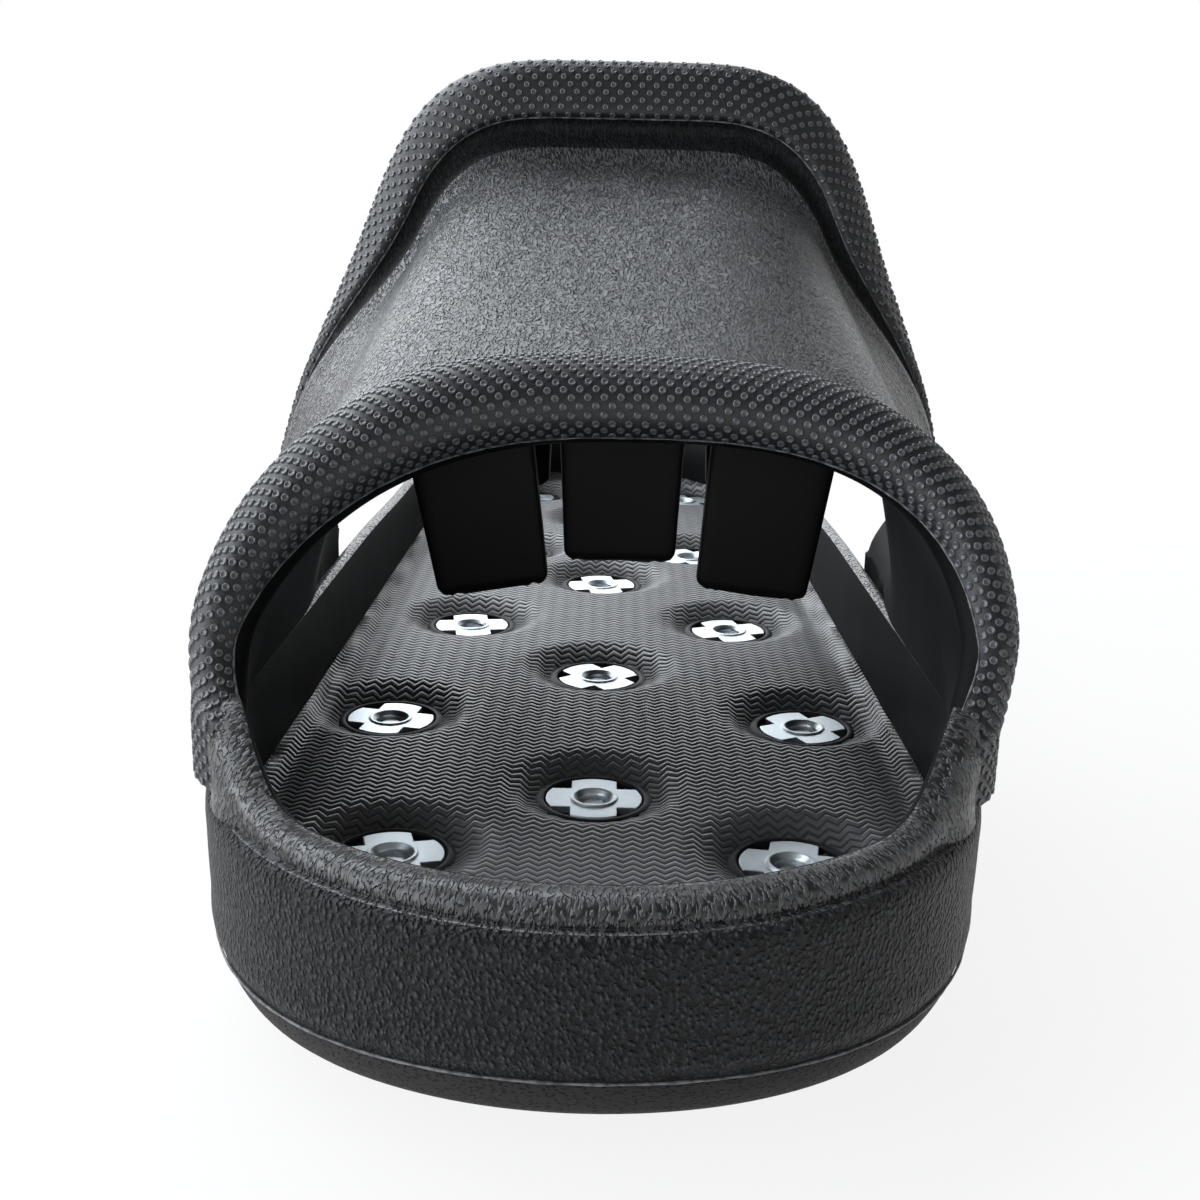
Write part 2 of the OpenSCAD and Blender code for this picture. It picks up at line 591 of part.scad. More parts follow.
// Stud: a flanged hexagon under the outsole with a shank up into the tee nut
module stud(i) {
    shank_top = nut_seat_z + nut_sheet_t - thread_room;
    color("#9aa0a6")
    translate([stud_xy[i][0], stud_xy[i][1], 0])
    difference() {
        union() {
            translate([0, 0, stud_out - stud_flange_t]) cylinder(d = stud_flange_d, h = stud_flange_t);
            translate([0, 0, tip_out])
            cylinder(d = hex_w / cos(30), h = stud_out - stud_flange_t - tip_out + weld, $fn = 6);
            translate([0, 0, stud_out - weld]) cylinder(d = shank_d, h = shank_top - end_bevel - stud_out + weld);
            translate([0, 0, shank_top - end_bevel])
            cylinder(d1 = shank_d, d2 = shank_d - 2 * end_bevel, h = end_bevel);
        }
        translate([0, 0, -1]) cylinder(d = tip_d + 2 * fit, h = tip_out + tip_hold + 1);
    }
}

// Carbide tips, one pressed into each stud
module carbide_tips() {
    color("#6d7175")
    at_studs() cylinder(d = tip_d, h = tip_out + tip_hold);
}

outsole();
tray();
footbed();
upper();
for (row = fin_rows, s = [-1, 0, 1])
    fin(s, row);
for (i = [0:last_stud]) {
    tee_nut(i);
    stud(i);
}
carbide_tips();
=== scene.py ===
"""Dresses a studded foam overshoe: moulded grain, ribs and dots, zinc tee nuts and steel studs."""

import json
import math
from contextlib import contextmanager

import bpy
import numpy as np
from bpy.props import FloatProperty, FloatVectorProperty, PointerProperty
from mathutils import Matrix, Vector


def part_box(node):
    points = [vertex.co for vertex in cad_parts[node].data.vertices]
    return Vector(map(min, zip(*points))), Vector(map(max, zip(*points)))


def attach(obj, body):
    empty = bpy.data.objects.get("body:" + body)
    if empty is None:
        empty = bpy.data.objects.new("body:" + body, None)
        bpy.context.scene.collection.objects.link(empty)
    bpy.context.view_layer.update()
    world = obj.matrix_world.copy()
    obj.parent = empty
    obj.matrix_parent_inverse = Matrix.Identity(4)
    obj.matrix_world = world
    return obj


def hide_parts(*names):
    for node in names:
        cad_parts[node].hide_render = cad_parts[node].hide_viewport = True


bl_info = {
    "name": "Anti-slip Overshoe",
    "version": (1, 0, 0),
    "blender": (4, 5, 0),
    "location": "3D View > Sidebar > Overshoe",
    "description": "Models a studded foam overshoe around its packed frame",
    "category": "Add Mesh",
}

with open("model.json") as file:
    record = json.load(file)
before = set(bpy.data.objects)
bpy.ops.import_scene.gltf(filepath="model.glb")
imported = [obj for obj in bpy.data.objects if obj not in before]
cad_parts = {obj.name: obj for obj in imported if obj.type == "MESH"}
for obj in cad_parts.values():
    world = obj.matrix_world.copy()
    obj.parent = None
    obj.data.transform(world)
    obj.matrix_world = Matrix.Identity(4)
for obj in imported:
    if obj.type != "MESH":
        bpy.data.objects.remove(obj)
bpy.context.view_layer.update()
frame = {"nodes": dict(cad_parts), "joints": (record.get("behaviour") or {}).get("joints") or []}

SHOE = "shoe"
# Vertices closer than this are one vertex
MERGE = 2e-6
# Added to lengths that are divided by
TINY = 1e-9
# Unevenness of a moulding line, its two waves in radians per metre, and the sides of its section
LINE_UNEVEN, LINE_WAVES, LINE_SIDES = 0.35, (900, 370), 8


# Settings

def size(name, text, metres):
    """A length that a user may change."""
    return FloatProperty(name=name, description=text, default=metres, unit="LENGTH", precision=5)


def share(name, text, value):
    """A plain number that a user may change."""
    return FloatProperty(name=name, description=text, default=value, precision=4)


def angle(name, text, degrees):
    """An angle that a user may change."""
    return FloatProperty(name=name, description=text, default=math.radians(degrees), subtype="ANGLE")


def colour(name, text, rgb):
    """A colour that a user may change."""
    return FloatVectorProperty(name=name, description=text, default=rgb, size=3, min=0, max=1,
                               subtype="COLOR")


def watts(name, text, value):
    """A lamp's power that a user may change."""
    return FloatProperty(name=name, description=text, default=value, unit="POWER")


class SoleSizes(bpy.types.PropertyGroup):
    """Plan and walls of the sole."""

    toe_width: size("Toe width", "Width that the tapering sides would have at the toe end", 0.128)
    heel_width: size("Heel width", "Width that the tapering sides would have at the heel end", 0.101)
    toe_depth: size("Toe depth", "Length of the elliptical toe end", 0.064)
    heel_depth: size("Heel depth", "Length of the elliptical heel end", 0.054)
    toe_curl: size("Toe curl", "How far the toe end curves up", 0.002)
    toe_curl_length: size("Toe curl length", "Length over which the toe curves up", 0.030)
    heel_curl: size("Heel curl", "How far the heel end curves up", 0.0025)
    heel_curl_length: size("Heel curl length", "Length over which the heel curves up", 0.024)
    side_wall: size("Side wall", "Thickness of the wall along the sides", 0.006)
    toe_wall: size("Toe wall", "Thickness of the toe bumper", 0.0105)
    heel_wall: size("Heel wall", "Thickness of the heel wall", 0.010)
    ledge_height: size("Ledge height", "Height of the ledge line above the footbed", 0.0065)
    rim_inset: size("Rim inset", "Depth of the rim's face behind the widest part of the wall", 0.0022)
    rim_toe: size("Rim at the toe", "Rim height above the footbed at the toe", 0.0098)
    rim_side: size("Rim at the sides", "Rim height above the footbed under the upper", 0.017)
    rim_heel: size("Rim at the heel", "Rim height above the footbed round the heel", 0.0155)
    edge_gap: size("Footbed gap", "Gap between the footbed's edge and the tray wall", 0.0003)
    flash: size("Flash line", "Height of the moulding line over the outsole", 0.0004)


class UpperSizes(bpy.types.PropertyGroup):
    """Arch, bead, panel and collar of the upper."""

    front: size("Front", "Distance from the toe to the upper's front at its base", 0.046)
    back: size("Back", "Distance from the toe to the upper's back at its base", 0.158)
    crown_front: size("Crown front", "Distance from the toe to the upper's front at its crown", 0.084)
    crown_back: size("Crown back", "Distance from the toe to the upper's back at its crown", 0.1955)
    arch_height: size("Arch height", "Height of the front arch above the footbed, inside", 0.054)
    instep_height: size("Instep height", "Height of the panel above the footbed at the collar, inside", 0.102)
    flare_crown: size("Crown flare", "Rise of the flared collar at the crown", 0.014)
    flare_side: size("Side flare", "Outward flare of the collar at its sides", 0.014)
    crown_shift: size("Crown shift", "Sideways lean of the crown at its front", 0.0042)
    skirt_height: size("Skirt height", "Height of the lower edge above the footbed", 0.008)
    skirt_gap: size("Skirt gap", "Gap between the skirt and the tray's rim", 0.00025)
    skirt_edge: size("Skirt edge", "Least thickness of the skirt's front edge", 0.0008)
    panel: size("Panel", "Thickness of the panel", 0.0055)
    panel_base: size("Panel base", "How much thicker the panel is at the skirt", 0.0013)
    bead: size("Bead", "Thickness of the rolled front bead at the crown", 0.0128)
    band: size("Band", "Thickness of the collar's band", 0.009)
    bead_pitch: size("Bead pitch", "Distance between the dots along a row of the bead", 0.0026)
    bead_rows: size("Bead rows", "Distance between the bead's rows of dots", 0.00145)
    collar_pitch: size("Collar pitch", "Distance between the dots along a row of the collar", 0.0031)
    collar_rows: size("Collar rows", "Distance between the collar's rows of dots", 0.00165)
    dot_width: size("Dot width", "Diameter of a dot", 0.00135)
    dot_height: size("Dot height", "How far a dot stands out", 0.00030)
    trim: size("Trim line", "Thickness of the moulding lines along the bead and the collar", 0.00036)


class FootbedSizes(bpy.types.PropertyGroup):
    """Zigzag ribs and dimples of the footbed."""

    rib_pitch: size("Rib pitch", "Distance between neighbouring ribs", 0.0017)
    rib_height: size("Rib height", "Height of a rib", 0.00030)
    zigzag_width: size("Zigzag width", "Width of one zigzag across the foot", 0.0031)
    zigzag_sweep: size("Zigzag sweep", "How far a zigzag runs along the foot", 0.0014)
    edge_climb: size("Edge climb", "How far the footbed's edge climbs the wall", 0.0016)
    edge_width: size("Edge width", "Width of the climbing edge", 0.0040)
    seat_radius: size("Seat radius", "Radius of the seat under a tee nut", 0.0084)
    seat_wall: size("Seat wall", "Width of the steep wall round the seat", 0.0014)
    seat_depth: size("Seat depth", "Depth of the steep wall", 0.0010)
    dimple_radius: size("Dimple radius", "Radius of the soft dimple round the seat", 0.0165)
    dimple_depth: size("Dimple depth", "Depth of the soft dimple", 0.0026)


class FinSizes(bpy.types.PropertyGroup):
    """Grip fins under the upper."""

    root_width: size("Root width", "Width of a fin at its root", 0.0225)
    tip_width: size("Tip width", "Width of a fin at its tip", 0.020)
    root_thickness: size("Root thickness", "Thickness of a fin at its root", 0.006)
    tip_thickness: size("Tip thickness", "Thickness of a fin at its tip", 0.0046)
    front_tip: size("Front tip", "Height of the middle front fin's tip above the footbed", 0.0285)
    rear_tip: size("Rear tip", "Height of the middle rear fin's tip above the footbed", 0.036)
    outer_drop: size("Outer drop", "How much lower the outer fins hang", 0.0055)
    corner: size("Corner", "Radius of the corners at a fin's tip", 0.0024)
    ragged: size("Ragged edge", "Unevenness of a fin's trimmed tip", 0.0003)
    gap: size("Gap", "Gap between a fin's root and its web", 0.00035)


class Finishes(bpy.types.PropertyGroup):
    """Colours of the foam and the metal."""

    tray: colour("Tray", "Pebbled foam of the tray", (0.026, 0.027, 0.029))
    # Inside: painted near-black, far darker than the tray's foam, as painted shade on the inner walls, webs,
    # gutter and round the tee nuts
    inside: colour("Inside", "Smooth foam of the inner walls", (0.005, 0.0054, 0.0058))
    upper: colour("Upper", "Creased foam of the upper's panel", (0.030, 0.031, 0.034))
    dots: colour("Dots", "Dotted foam of the bead and the collar", (0.028, 0.029, 0.032))
    footbed: colour("Footbed", "Ribbed foam of the footbed", (0.023, 0.0245, 0.026))
    outsole: colour("Outsole", "Fine-grained foam of the outsole", (0.026, 0.025, 0.024))
    # Fins: painted darker than the rest of the foam as painted shade under the upper
    fins: colour("Fins", "Smooth foam of the fins", (0.007, 0.007, 0.0075))
    # Trim: paler than the foam, a painted highlight along the moulding lines
    trim: colour("Trim", "Moulding lines", (0.16, 0.165, 0.175))
    zinc: colour("Zinc", "Bright zinc plate of the tee nuts", (0.60, 0.66, 0.69))
    steel: colour("Steel", "Plated steel of the studs", (0.56, 0.57, 0.60))
    carbide: colour("Carbide", "Hard metal of the stud tips", (0.28, 0.29, 0.31))
    floor: colour("Floor", "Pale studio floor", (0.86, 0.86, 0.87))


class StageSettings(bpy.types.PropertyGroup):
    """Camera and studio light."""

    eye: FloatVectorProperty(name="Eye", description="Place of the camera", size=3, subtype="TRANSLATION",
                             default=(0.00141, -0.34036, 0.13445))
    yaw: angle("Yaw", "Turn of the camera about the vertical", 0.26)
    pitch: angle("Pitch", "Tilt of the camera below the horizon", -16.49)
    roll: angle("Roll", "Lean of the camera", -1.27)
    lens: FloatProperty(name="Lens", description="Focal length on a 36 mm sensor", default=48.0,
                        unit="CAMERA")
    key_power: watts("Key power", "Soft box above and behind", 23.0)
    side_power: watts("Side power", "Soft box on the left", 15.0)
    back_power: watts("Back power", "Low soft box behind", 6.0)
    world_level: share("World level", "Brightness of the plain surroundings", 0.18)


class OvershoeSettings(bpy.types.PropertyGroup):
    """All settings of the overshoe."""

    sole: PointerProperty(type=SoleSizes)
    upper: PointerProperty(type=UpperSizes)
    footbed: PointerProperty(type=FootbedSizes)
    fins: PointerProperty(type=FinSizes)
    finishes: PointerProperty(type=Finishes)
    stage: PointerProperty(type=StageSettings)


def settings():
    """The overshoe's settings in this scene."""
    return bpy.context.scene.overshoe


# Curves and plans

def smooth(low, high, x):
    """Rises smoothly from 0 at low to 1 at high."""
    t = np.clip((x - low) / (high - low), 0.0, 1.0)
    return t * t * (3 - 2 * t)


def hump(start, full, fading, end, x):
    """Rises smoothly from 0 at start to 1 at full, and falls again from fading to end."""
    return smooth(start, full, x) * (1 - smooth(fading, end, x))


def between(first, second, part):
    """A value part of the way from the first to the second."""
    return first + (second - first) * part


def end_round(reach, depth):
    """Rounding of an end of the plan: 0 at its tip, 1 where the straight side begins."""
    return np.sqrt(1 - np.clip(1 - reach / depth, 0.0, 1.0) ** 2)


def point(x, y, z):
    """Places from arrays of coordinates."""
    return np.stack(np.broadcast_arrays(x, y, z), axis=-1)


def unit(p):
    """Directions of length 1."""
    return p / np.linalg.norm(p, axis=-1, keepdims=True)


def lengths(path):
    """Distance along a path at each of its points."""
    return np.concatenate([[0], np.cumsum(np.linalg.norm(np.diff(path, axis=0), axis=1))])


def run_on(path):
    """A path with one more point at each end, straight on."""
    return np.concatenate([2 * path[:1] - path[1:2], path, 2 * path[-1:] - path[-2:-1]])


def thread(stops, step, closed=False):
    """Rows on a smooth surface through stacked rows of points, and the row at which each stop lies."""
    n = len(stops)
    ring = np.concatenate([stops[-1:], stops, stops[:2]]) if closed else run_on(stops)
    gaps = np.linalg.norm(np.diff(ring, axis=0), axis=-1).mean(axis=1) + TINY
    rises = np.diff(ring, axis=0) / gaps[:, None, None]
    before, after = gaps[:-1, None, None], gaps[1:, None, None]
    slopes = (rises[:-1] * after + rises[1:] * before) / (before + after)
    rows, marks = [], []
    for k in range(n if closed else n - 1):
        gap = gaps[k + 1]
        count = max(2, round(gap / step))
        marks.append(len(rows))
        following = (k + 1) % n
        for i in range(count):
            s = i / count
            rows.append((1 + 2 * s) * (1 - s) ** 2 * stops[k] + s * (1 - s) ** 2 * gap * slopes[k]
                        + s * s * (3 - 2 * s) * stops[following] + s * s * (s - 1) * gap * slopes[following])
    marks.append(len(rows))
    rows.append(stops[0] if closed else stops[-1])
    return np.array(rows), marks


class SolePlan:
    """Outline, curl and rim of the sole over d, the distance from the toe."""

    # Where the rim's rise starts and ends in front of the upper, and the length of its fall behind the upper
    rise_start, rise_end, fall = 0.022, 0.002, 0.060

    def __init__(self):
        self.sizes = settings().sole
        low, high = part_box("tray")
        self.toe_y, self.length = low.y, high.y - low.y
        self.bottom_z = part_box("outsole")[0].z
        self.tray_z = low.z
        self.floor_z, self.foot_z = (corner.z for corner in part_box("footbed"))
        self.ledge_z = self.foot_z + self.sizes.ledge_height

    def y(self, d):
        """Place along Y."""
        return d + self.toe_y

    def side(self, d):
        """Half-width of the tapering sides."""
        s = self.sizes
        return between(s.toe_width, s.heel_width, d / self.length) / 2

    def half_width(self, d, side_in, toe_in, heel_in):
        """Half-width of the outline with insets from the side, the toe and the heel."""
        s = self.sizes
        return ((self.side(d) - side_in) * end_round(d - toe_in, s.toe_depth - toe_in)
                * end_round(self.length - heel_in - d, s.heel_depth - heel_in))

    def wall(self, d):
        """Half-width of the tray's inner wall."""
        s = self.sizes
        return self.half_width(d, s.side_wall, s.toe_wall, s.heel_wall)

    def rim(self, d):
        """Half-width of the rim's outer face."""
        inset = self.sizes.rim_inset
        return self.half_width(d, inset, inset, inset)

    def curl(self, d):
        """Lift of the sole's underside at its two ends."""
        s = self.sizes
        return (s.toe_curl * np.clip(1 - d / s.toe_curl_length, 0, 1) ** 2
                + s.heel_curl * np.clip(1 - (self.length - d) / s.heel_curl_length, 0, 1) ** 2)

    def rim_z(self, d):
        """Height of the tray's rim."""
        s, upper = self.sizes, settings().upper
        rise = smooth(upper.front - self.rise_start, upper.front - self.rise_end, d)
        fall = smooth(upper.back, upper.back + self.fall, d)
        return self.foot_z + s.rim_toe + (s.rim_side - s.rim_toe) * rise + (s.rim_heel - s.rim_side) * fall

    def ring(self, columns, side_in, toe_in, heel_in):
        """A closed outline from the toe round to the toe again, as x and d."""
        turn = np.linspace(0, 2 * np.pi, columns + 1)
        d = toe_in + (self.length - toe_in - heel_in) * (1 - np.cos(turn)) / 2
        return np.where(turn < np.pi, 1, -1) * self.half_width(d, side_in, toe_in, heel_in), d


class UpperShell:
    """Inner face and thickness of the upper, over t from base to base and v from front to back."""

    # Share of the section, at each end, that is the straight skirt, its points and the step to the arch
    skirt, skirt_points, arch_step = 0.1, 9, 0.002
    # Small steps along and across for the normals of the bare and of the flared inner face
    bare_steps, face_steps = (0.01, 0.004), (0.006, 0.006)
    # Part of the section over which the ceiling's height is known, and its points
    ceiling_span, ceiling_points = (0.75, 0.25), 400
    # Where the collar's flare starts and levels off at the sides, from front to back, and starts at the crown
    side_flare, crown_flare = (0.45, 0.95), 0.8
    # Share of the flare at the collar's base, and the shares of the arch's height over which it opens,
    # turns into the crown's and takes its size
    flare_base, flare_rise, flare_turn, flare_grow = 0.46, 0.14, (0.3, 0.8), (0.5, 1.0)
    # Powers that square the arch's shoulders: at the front, and their growth towards the back
    arch_power = (3, 3, 3)
    # How much softer the left shoulder is at the front, where that ends, and how much fuller its bead is
    left_soft, soft_end, left_full = 0.6, 0.6, 0.25
    # Places between which the bead thickens and thins again on the left
    full_span = (0.5, 0.68, 0.72, 0.9)
    # Share of the lean that is lost at the back, how much lower down it starts there, and the crown's
    # narrowing at the front and the back
    lean_loss, lean_low, crown_narrow = 0.3, 0.5, (0.02, 0.4)
    # Powers of the height by which the section narrows and rakes back, and the height where its bulge is full
    narrow_power, rake_power, bulge_full = 1.3, 1.2, 0.35
    # Share of the crown's rise that comes late, and the bead's share at its base
    crown_bow, bead_base = 0.25, 0.62
    # Share of the collar's band at its sides, and the shares of the arch's height between which it thickens
    band_side, band_grow = 0.84, (0.4, 0.9)
    # From front to back: outer place, shares of the bead, panel and band there, inner place, inner lift
    stations = (
        (-0.030, 0.20, 0, 0, 0.000, 0), (-0.045, 0.46, 0, 0, 0.012, 0), (-0.036, 0.73, 0, 0, 0.030, 0),
        (-0.005, 0.93, 0, 0, 0.050, 0), (0.035, 1.00, 0, 0, 0.080, 0), (0.075, 0.90, 0, 0, 0.110, 0),
        (0.115, 0.55, 0.25, 0, 0.140, 0), (0.150, 0.20, 0.70, 0, 0.170, 0), (0.185, 0, 0.98, 0, 0.200, 0),
        *((v, 0, 1, 0, v, 0) for v in (0.215, 0.30, 0.40, 0.50, 0.60, 0.70, 0.78)),
        (0.835, 0, 1.02, 0, 0.835, 0), (0.868, 0, 1.13, 0, 0.868, 0), (0.892, 0, 1.0, 0, 0.892, 0),
        (0.92, 0, 0.94, 0, 0.92, 0),
        (0.929, 0, 0, 0.80, 0.932, 0), (0.933, 0, 0, 0.96, 0.940, 0), (0.945, 0, 0, 1, 0.950, 0),
        (0.968, 0, 0, 1, 0.967, 0), (0.990, 0, 0, 0.96, 0.985, 0), (1.008, 0, 0, 0.75, 1.000, 0.03),
        (1.016, 0, 0, 0.45, 1.008, 0.16))
    # Stations at which the dotted bead ends, the dark gutter starts and the collar's band starts
    bead_end, gutter_start, band_start = 7, 17, 20

    def __init__(self, plan):
        self.plan = plan
        self.sizes = settings().upper
        self.skirt_z = plan.foot_z + self.sizes.skirt_height
        self.spring_z = plan.foot_z + plan.sizes.rim_side + self.sizes.skirt_gap

    def arch(self, t, v):
        """A rounded arch of unit size, across and up."""
        turn = np.pi * np.clip((t - self.skirt) / (1 - 2 * self.skirt), 0, 1)
        power = (self.arch_power[0] + self.arch_power[1] * v + self.arch_power[2] * np.maximum(0, v) ** 3
                 - np.where(t > 0.5, self.left_soft * (1 - smooth(0, self.soft_end, v)), 0))
        r = (np.abs(np.cos(turn)) ** power + np.abs(np.sin(turn)) ** power) ** (-1 / power)
        return r * np.cos(turn), r * np.sin(turn)

    def bare(self, t, v):
        """Inner face without its flare."""
        s, plan = self.sizes, self.plan
        across, up = self.arch(t, v)
        d = between(s.front, s.back, v)
        crown_d = between(s.crown_front, s.crown_back, v)
        rise = v * (1 - self.crown_bow + self.crown_bow * v)
        crown_z = plan.foot_z + between(s.arch_height, s.instep_height, rise)
        wall = plan.wall(d)
        width = between(wall, plan.side(d) - plan.sizes.side_wall, smooth(0, self.bulge_full, up))
        narrow = between(*self.crown_narrow, v)
        lean = s.crown_shift * (1 - self.lean_loss * v) * up ** (1 - self.lean_low * np.maximum(0, v))
        skirt_up = np.minimum(1, np.minimum(t, 1 - t) / self.skirt)
        return point(
            width * across * (1 - narrow * up ** self.narrow_power) + lean,
            plan.y(between(d, crown_d, up ** self.rake_power)),
            between(self.skirt_z, self.spring_z, skirt_up) + (crown_z - self.spring_z) * up)

    def outward(self, face, t, v, along, across):
        """Outward normal of a face, from small steps."""
        return unit(np.cross(face(t, v + along) - face(t, v - along),
                             face(np.minimum(1, t + across), v) - face(np.maximum(0, t - across), v)))

    def flare(self, t, v):
        """How far the collar opens."""
        s = self.sizes
        up = self.arch(t, v)[1]
        high = smooth(*self.flare_turn, up)
        side = smooth(*self.side_flare, v)
        crown = np.maximum(0, (v - self.crown_flare) / (1 - self.crown_flare)) ** 2
        reach = (s.flare_side * between(self.flare_base, 1, smooth(0, self.flare_rise, up))
                 + (s.flare_crown - s.flare_side) * smooth(*self.flare_grow, up))
        return between(side, crown, high) * reach

    def inner(self, t, v):
        """Inner face with its flare."""
        return self.bare(t, v) + self.outward(self.bare, t, v, *self.bare_steps) * self.flare(t, v)[..., None]

    def normal(self, t, v):
        """Outward normal of the inner face."""
        return self.outward(self.inner, t, v, *self.face_steps)

    def on_skirt(self, t):
        """Whether places are on the straight skirt at either base."""
        return np.minimum(t, 1 - t) <= self.skirt

    def outside_rim(self, t, row, margin):
        """A row whose skirt stands outside the tray's rim."""
        x, y, z = row.T
        least = self.plan.rim(y - self.plan.toe_y) + self.sizes.skirt_gap + margin
        low = self.on_skirt(t) & (np.abs(x) < least)
        return point(np.where(low, np.where(t < 0.5, least, -least), x), y, z)

    def outer_row(self, t, station):
        """One row of the outside, over all places t."""
        s = self.sizes
        v = np.full_like(t, station[0])
        up = self.arch(t, 0 * t)[1]
        back_up = self.arch(t, 0 * t + 1)[1]
        full = 1 + self.left_full * hump(*self.full_span, t)
        bead = (s.bead - s.dot_height) * between(self.bead_base, 1, up) * full
        panel = s.panel + s.panel_base * (1 - smooth(0, self.bulge_full, up))
        wide = between(self.band_side, 1, smooth(*self.band_grow, back_up))
        lift = station[1] * bead + station[2] * panel + station[3] * (s.band - s.dot_height) * wide
        row = self.inner(t, v) + self.normal(t, v) * lift[:, None]
        return self.outside_rim(t, row, s.skirt_edge)

    def inner_row(self, t, station):
        """One row of the inside, over all places t."""
        v = np.full_like(t, station[4])
        row = self.inner(t, v)
        lifted = row + self.normal(t, v) * (station[5] * self.sizes.band)
        return np.where(self.on_skirt(t)[:, None], self.outside_rim(t, row, 0), lifted)

    def section(self, steps):
        """Places t from one base over the crown to the other."""
        half = np.concatenate([np.linspace(0, self.skirt, self.skirt_points),
                               np.linspace(self.skirt + self.arch_step, 0.5, steps)])
        return np.concatenate([half, 1 - half[-2::-1]])

    def surface(self, steps, step):
        """Rows round the profile by places along the section, and the row of each station."""
        t = self.section(steps)
        outside = [self.outer_row(t, s) for s in self.stations]
        inside = [self.inner_row(t, s) for s in reversed(self.stations)]
        return thread(np.array(outside + inside), step, closed=True)

    def ceiling(self, x, v):
        """Height of the inner face over x, at one place from front to back."""
        t = np.linspace(*self.ceiling_span, self.ceiling_points)
        face = self.inner(t, np.full_like(t, v))
        return np.interp(x, face[:, 0], face[:, 2])


# Modelling

def activate(piece):
    """Makes one object the only selected one."""
    bpy.ops.object.select_all(action="DESELECT")
    piece.select_set(True)
    bpy.context.view_layer.objects.active = piece


@contextmanager
def editing(piece, kind="VERT"):
    """Edit mode on one piece, with all of it selected."""
    activate(piece)
    bpy.ops.object.mode_set(mode="EDIT")
    bpy.ops.mesh.select_mode(type=kind)
    bpy.ops.mesh.select_all(action="SELECT")
    yield
    bpy.ops.object.mode_set(mode="OBJECT")


def added(name):
    """The object that was just added, under its own name."""
    piece = bpy.context.object
    piece.name = piece.data.name = name
    return piece


def corners(piece):
    """A piece's vertices as an array."""
    flat = np.empty(len(piece.data.vertices) * 3)
    piece.data.vertices.foreach_get("co", flat)
    return flat.reshape(-1, 3)


def move_corners(piece, places):
    """Moves a piece's vertices."""
    piece.data.vertices.foreach_set("co", np.asarray(places, dtype=np.float64).ravel())
    piece.data.update()


def grid_piece(name, rows, finish=None):
    """A grid laid over rows of points. finish gives each row of faces its material's number."""
    high, wide = rows.shape[0] - 1, rows.shape[1] - 1
    bpy.ops.mesh.primitive_grid_add(x_subdivisions=wide, y_subdivisions=high, size=1)
    piece = added(name)
    flat = corners(piece)
    column = np.rint((flat[:, 0] + 0.5) * wide).astype(int)
    row = np.rint((flat[:, 1] + 0.5) * high).astype(int)
    if finish is not None:
        middles = np.empty(len(piece.data.polygons) * 3)
        piece.data.polygons.foreach_get("center", middles)
        face_row = np.floor((middles.reshape(-1, 3)[:, 1] + 0.5) * high).astype(int)
        piece.data.polygons.foreach_set("material_index", np.asarray(finish, dtype=np.int32)[face_row])
    move_corners(piece, rows[row, column])
    return piece


def moulding_line(name, path, axis, radius, closed=False):
    """A thin, slightly uneven bead along a path. axis is a direction that the path never takes."""
    longer = np.concatenate([path[-2:-1], path, path[1:2]]) if closed else run_on(path)
    along = unit(longer[2:] - longer[:-2])
    out = unit(np.cross(along, axis))
    up = np.cross(out, along)
    first, second = (np.sin(wave * lengths(path)) for wave in LINE_WAVES)
    thick = (radius * (1 + LINE_UNEVEN * first * second))[:, None]
    turns = np.linspace(0, 2 * np.pi, LINE_SIDES + 1)
    rows = np.array([path + thick * (math.cos(a) * out + math.sin(a) * up) for a in turns])
    return close_up(grid_piece(name, rows), caps=not closed)


def close_up(piece, caps=True):
    """Merges a piece's seams, caps its open ends and turns its faces outwards."""
    with editing(piece):
        bpy.ops.mesh.remove_doubles(threshold=MERGE)
        if caps:
            bpy.ops.mesh.fill_holes(sides=0)
        bpy.ops.mesh.select_all(action="SELECT")
        bpy.ops.mesh.normals_make_consistent(inside=False)
    return piece


def cut(piece, tool, operation):
    """Joins a tool object to a piece, or cuts it out, and removes the tool."""
    activate(piece)
    change = piece.modifiers.new(operation.lower(), "BOOLEAN")
    change.operation = operation
    change.solver = "EXACT"
    change.object = tool
    bpy.ops.object.modifier_apply(modifier=change.name)
    bpy.data.objects.remove(tool)


def joined(pieces):
    """Joins pieces into the first of them."""
    activate(pieces[0])
    for piece in pieces:
        piece.select_set(True)
    bpy.ops.object.join()
    return pieces[0]


def stud_places():
    """Middles of the studs, and so of the tee nuts, in plan."""
    boxes = [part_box(name) for name in frame["nodes"] if name.startswith("stud_")]
    return np.array([[(low.x + high.x) / 2, (low.y + high.y) / 2] for low, high in boxes])


def dress(piece, slot, *materials, body=SHOE, nodes=(), crease=35):
    """Gives a piece its materials, its smooth shading and its place on the frame."""
    for material in materials:
        piece.data.materials.append(material)
    activate(piece)
    bpy.ops.object.shade_smooth_by_angle(angle=math.radians(crease))
    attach(piece, body)
    if nodes:
        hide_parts(*nodes)
    return piece


# Finishes

def sums(operation):
    """The two methods of a sum, with the socket on its left and on its right."""
    return (lambda self, other: self.maths(operation, self, other),
            lambda self, other: self.maths(operation, other, self))


class Value:
    """A shader socket. Sums on it add Math nodes."""

    __add__, __radd__ = sums("ADD")
    __sub__, __rsub__ = sums("SUBTRACT")
    __mul__, __rmul__ = sums("MULTIPLY")
    __truediv__ = sums("DIVIDE")[0]
    __pow__ = sums("POWER")[0]

    def __init__(self, paint, socket):
        self.paint = paint
        self.socket = socket

    def __abs__(self):
        return self.maths("ABSOLUTE", self)

    def maths(self, operation, *values):
        """A Math node on one or two values."""
        return self.paint.node("Math", {"operation": operation}, dict(enumerate(values)))


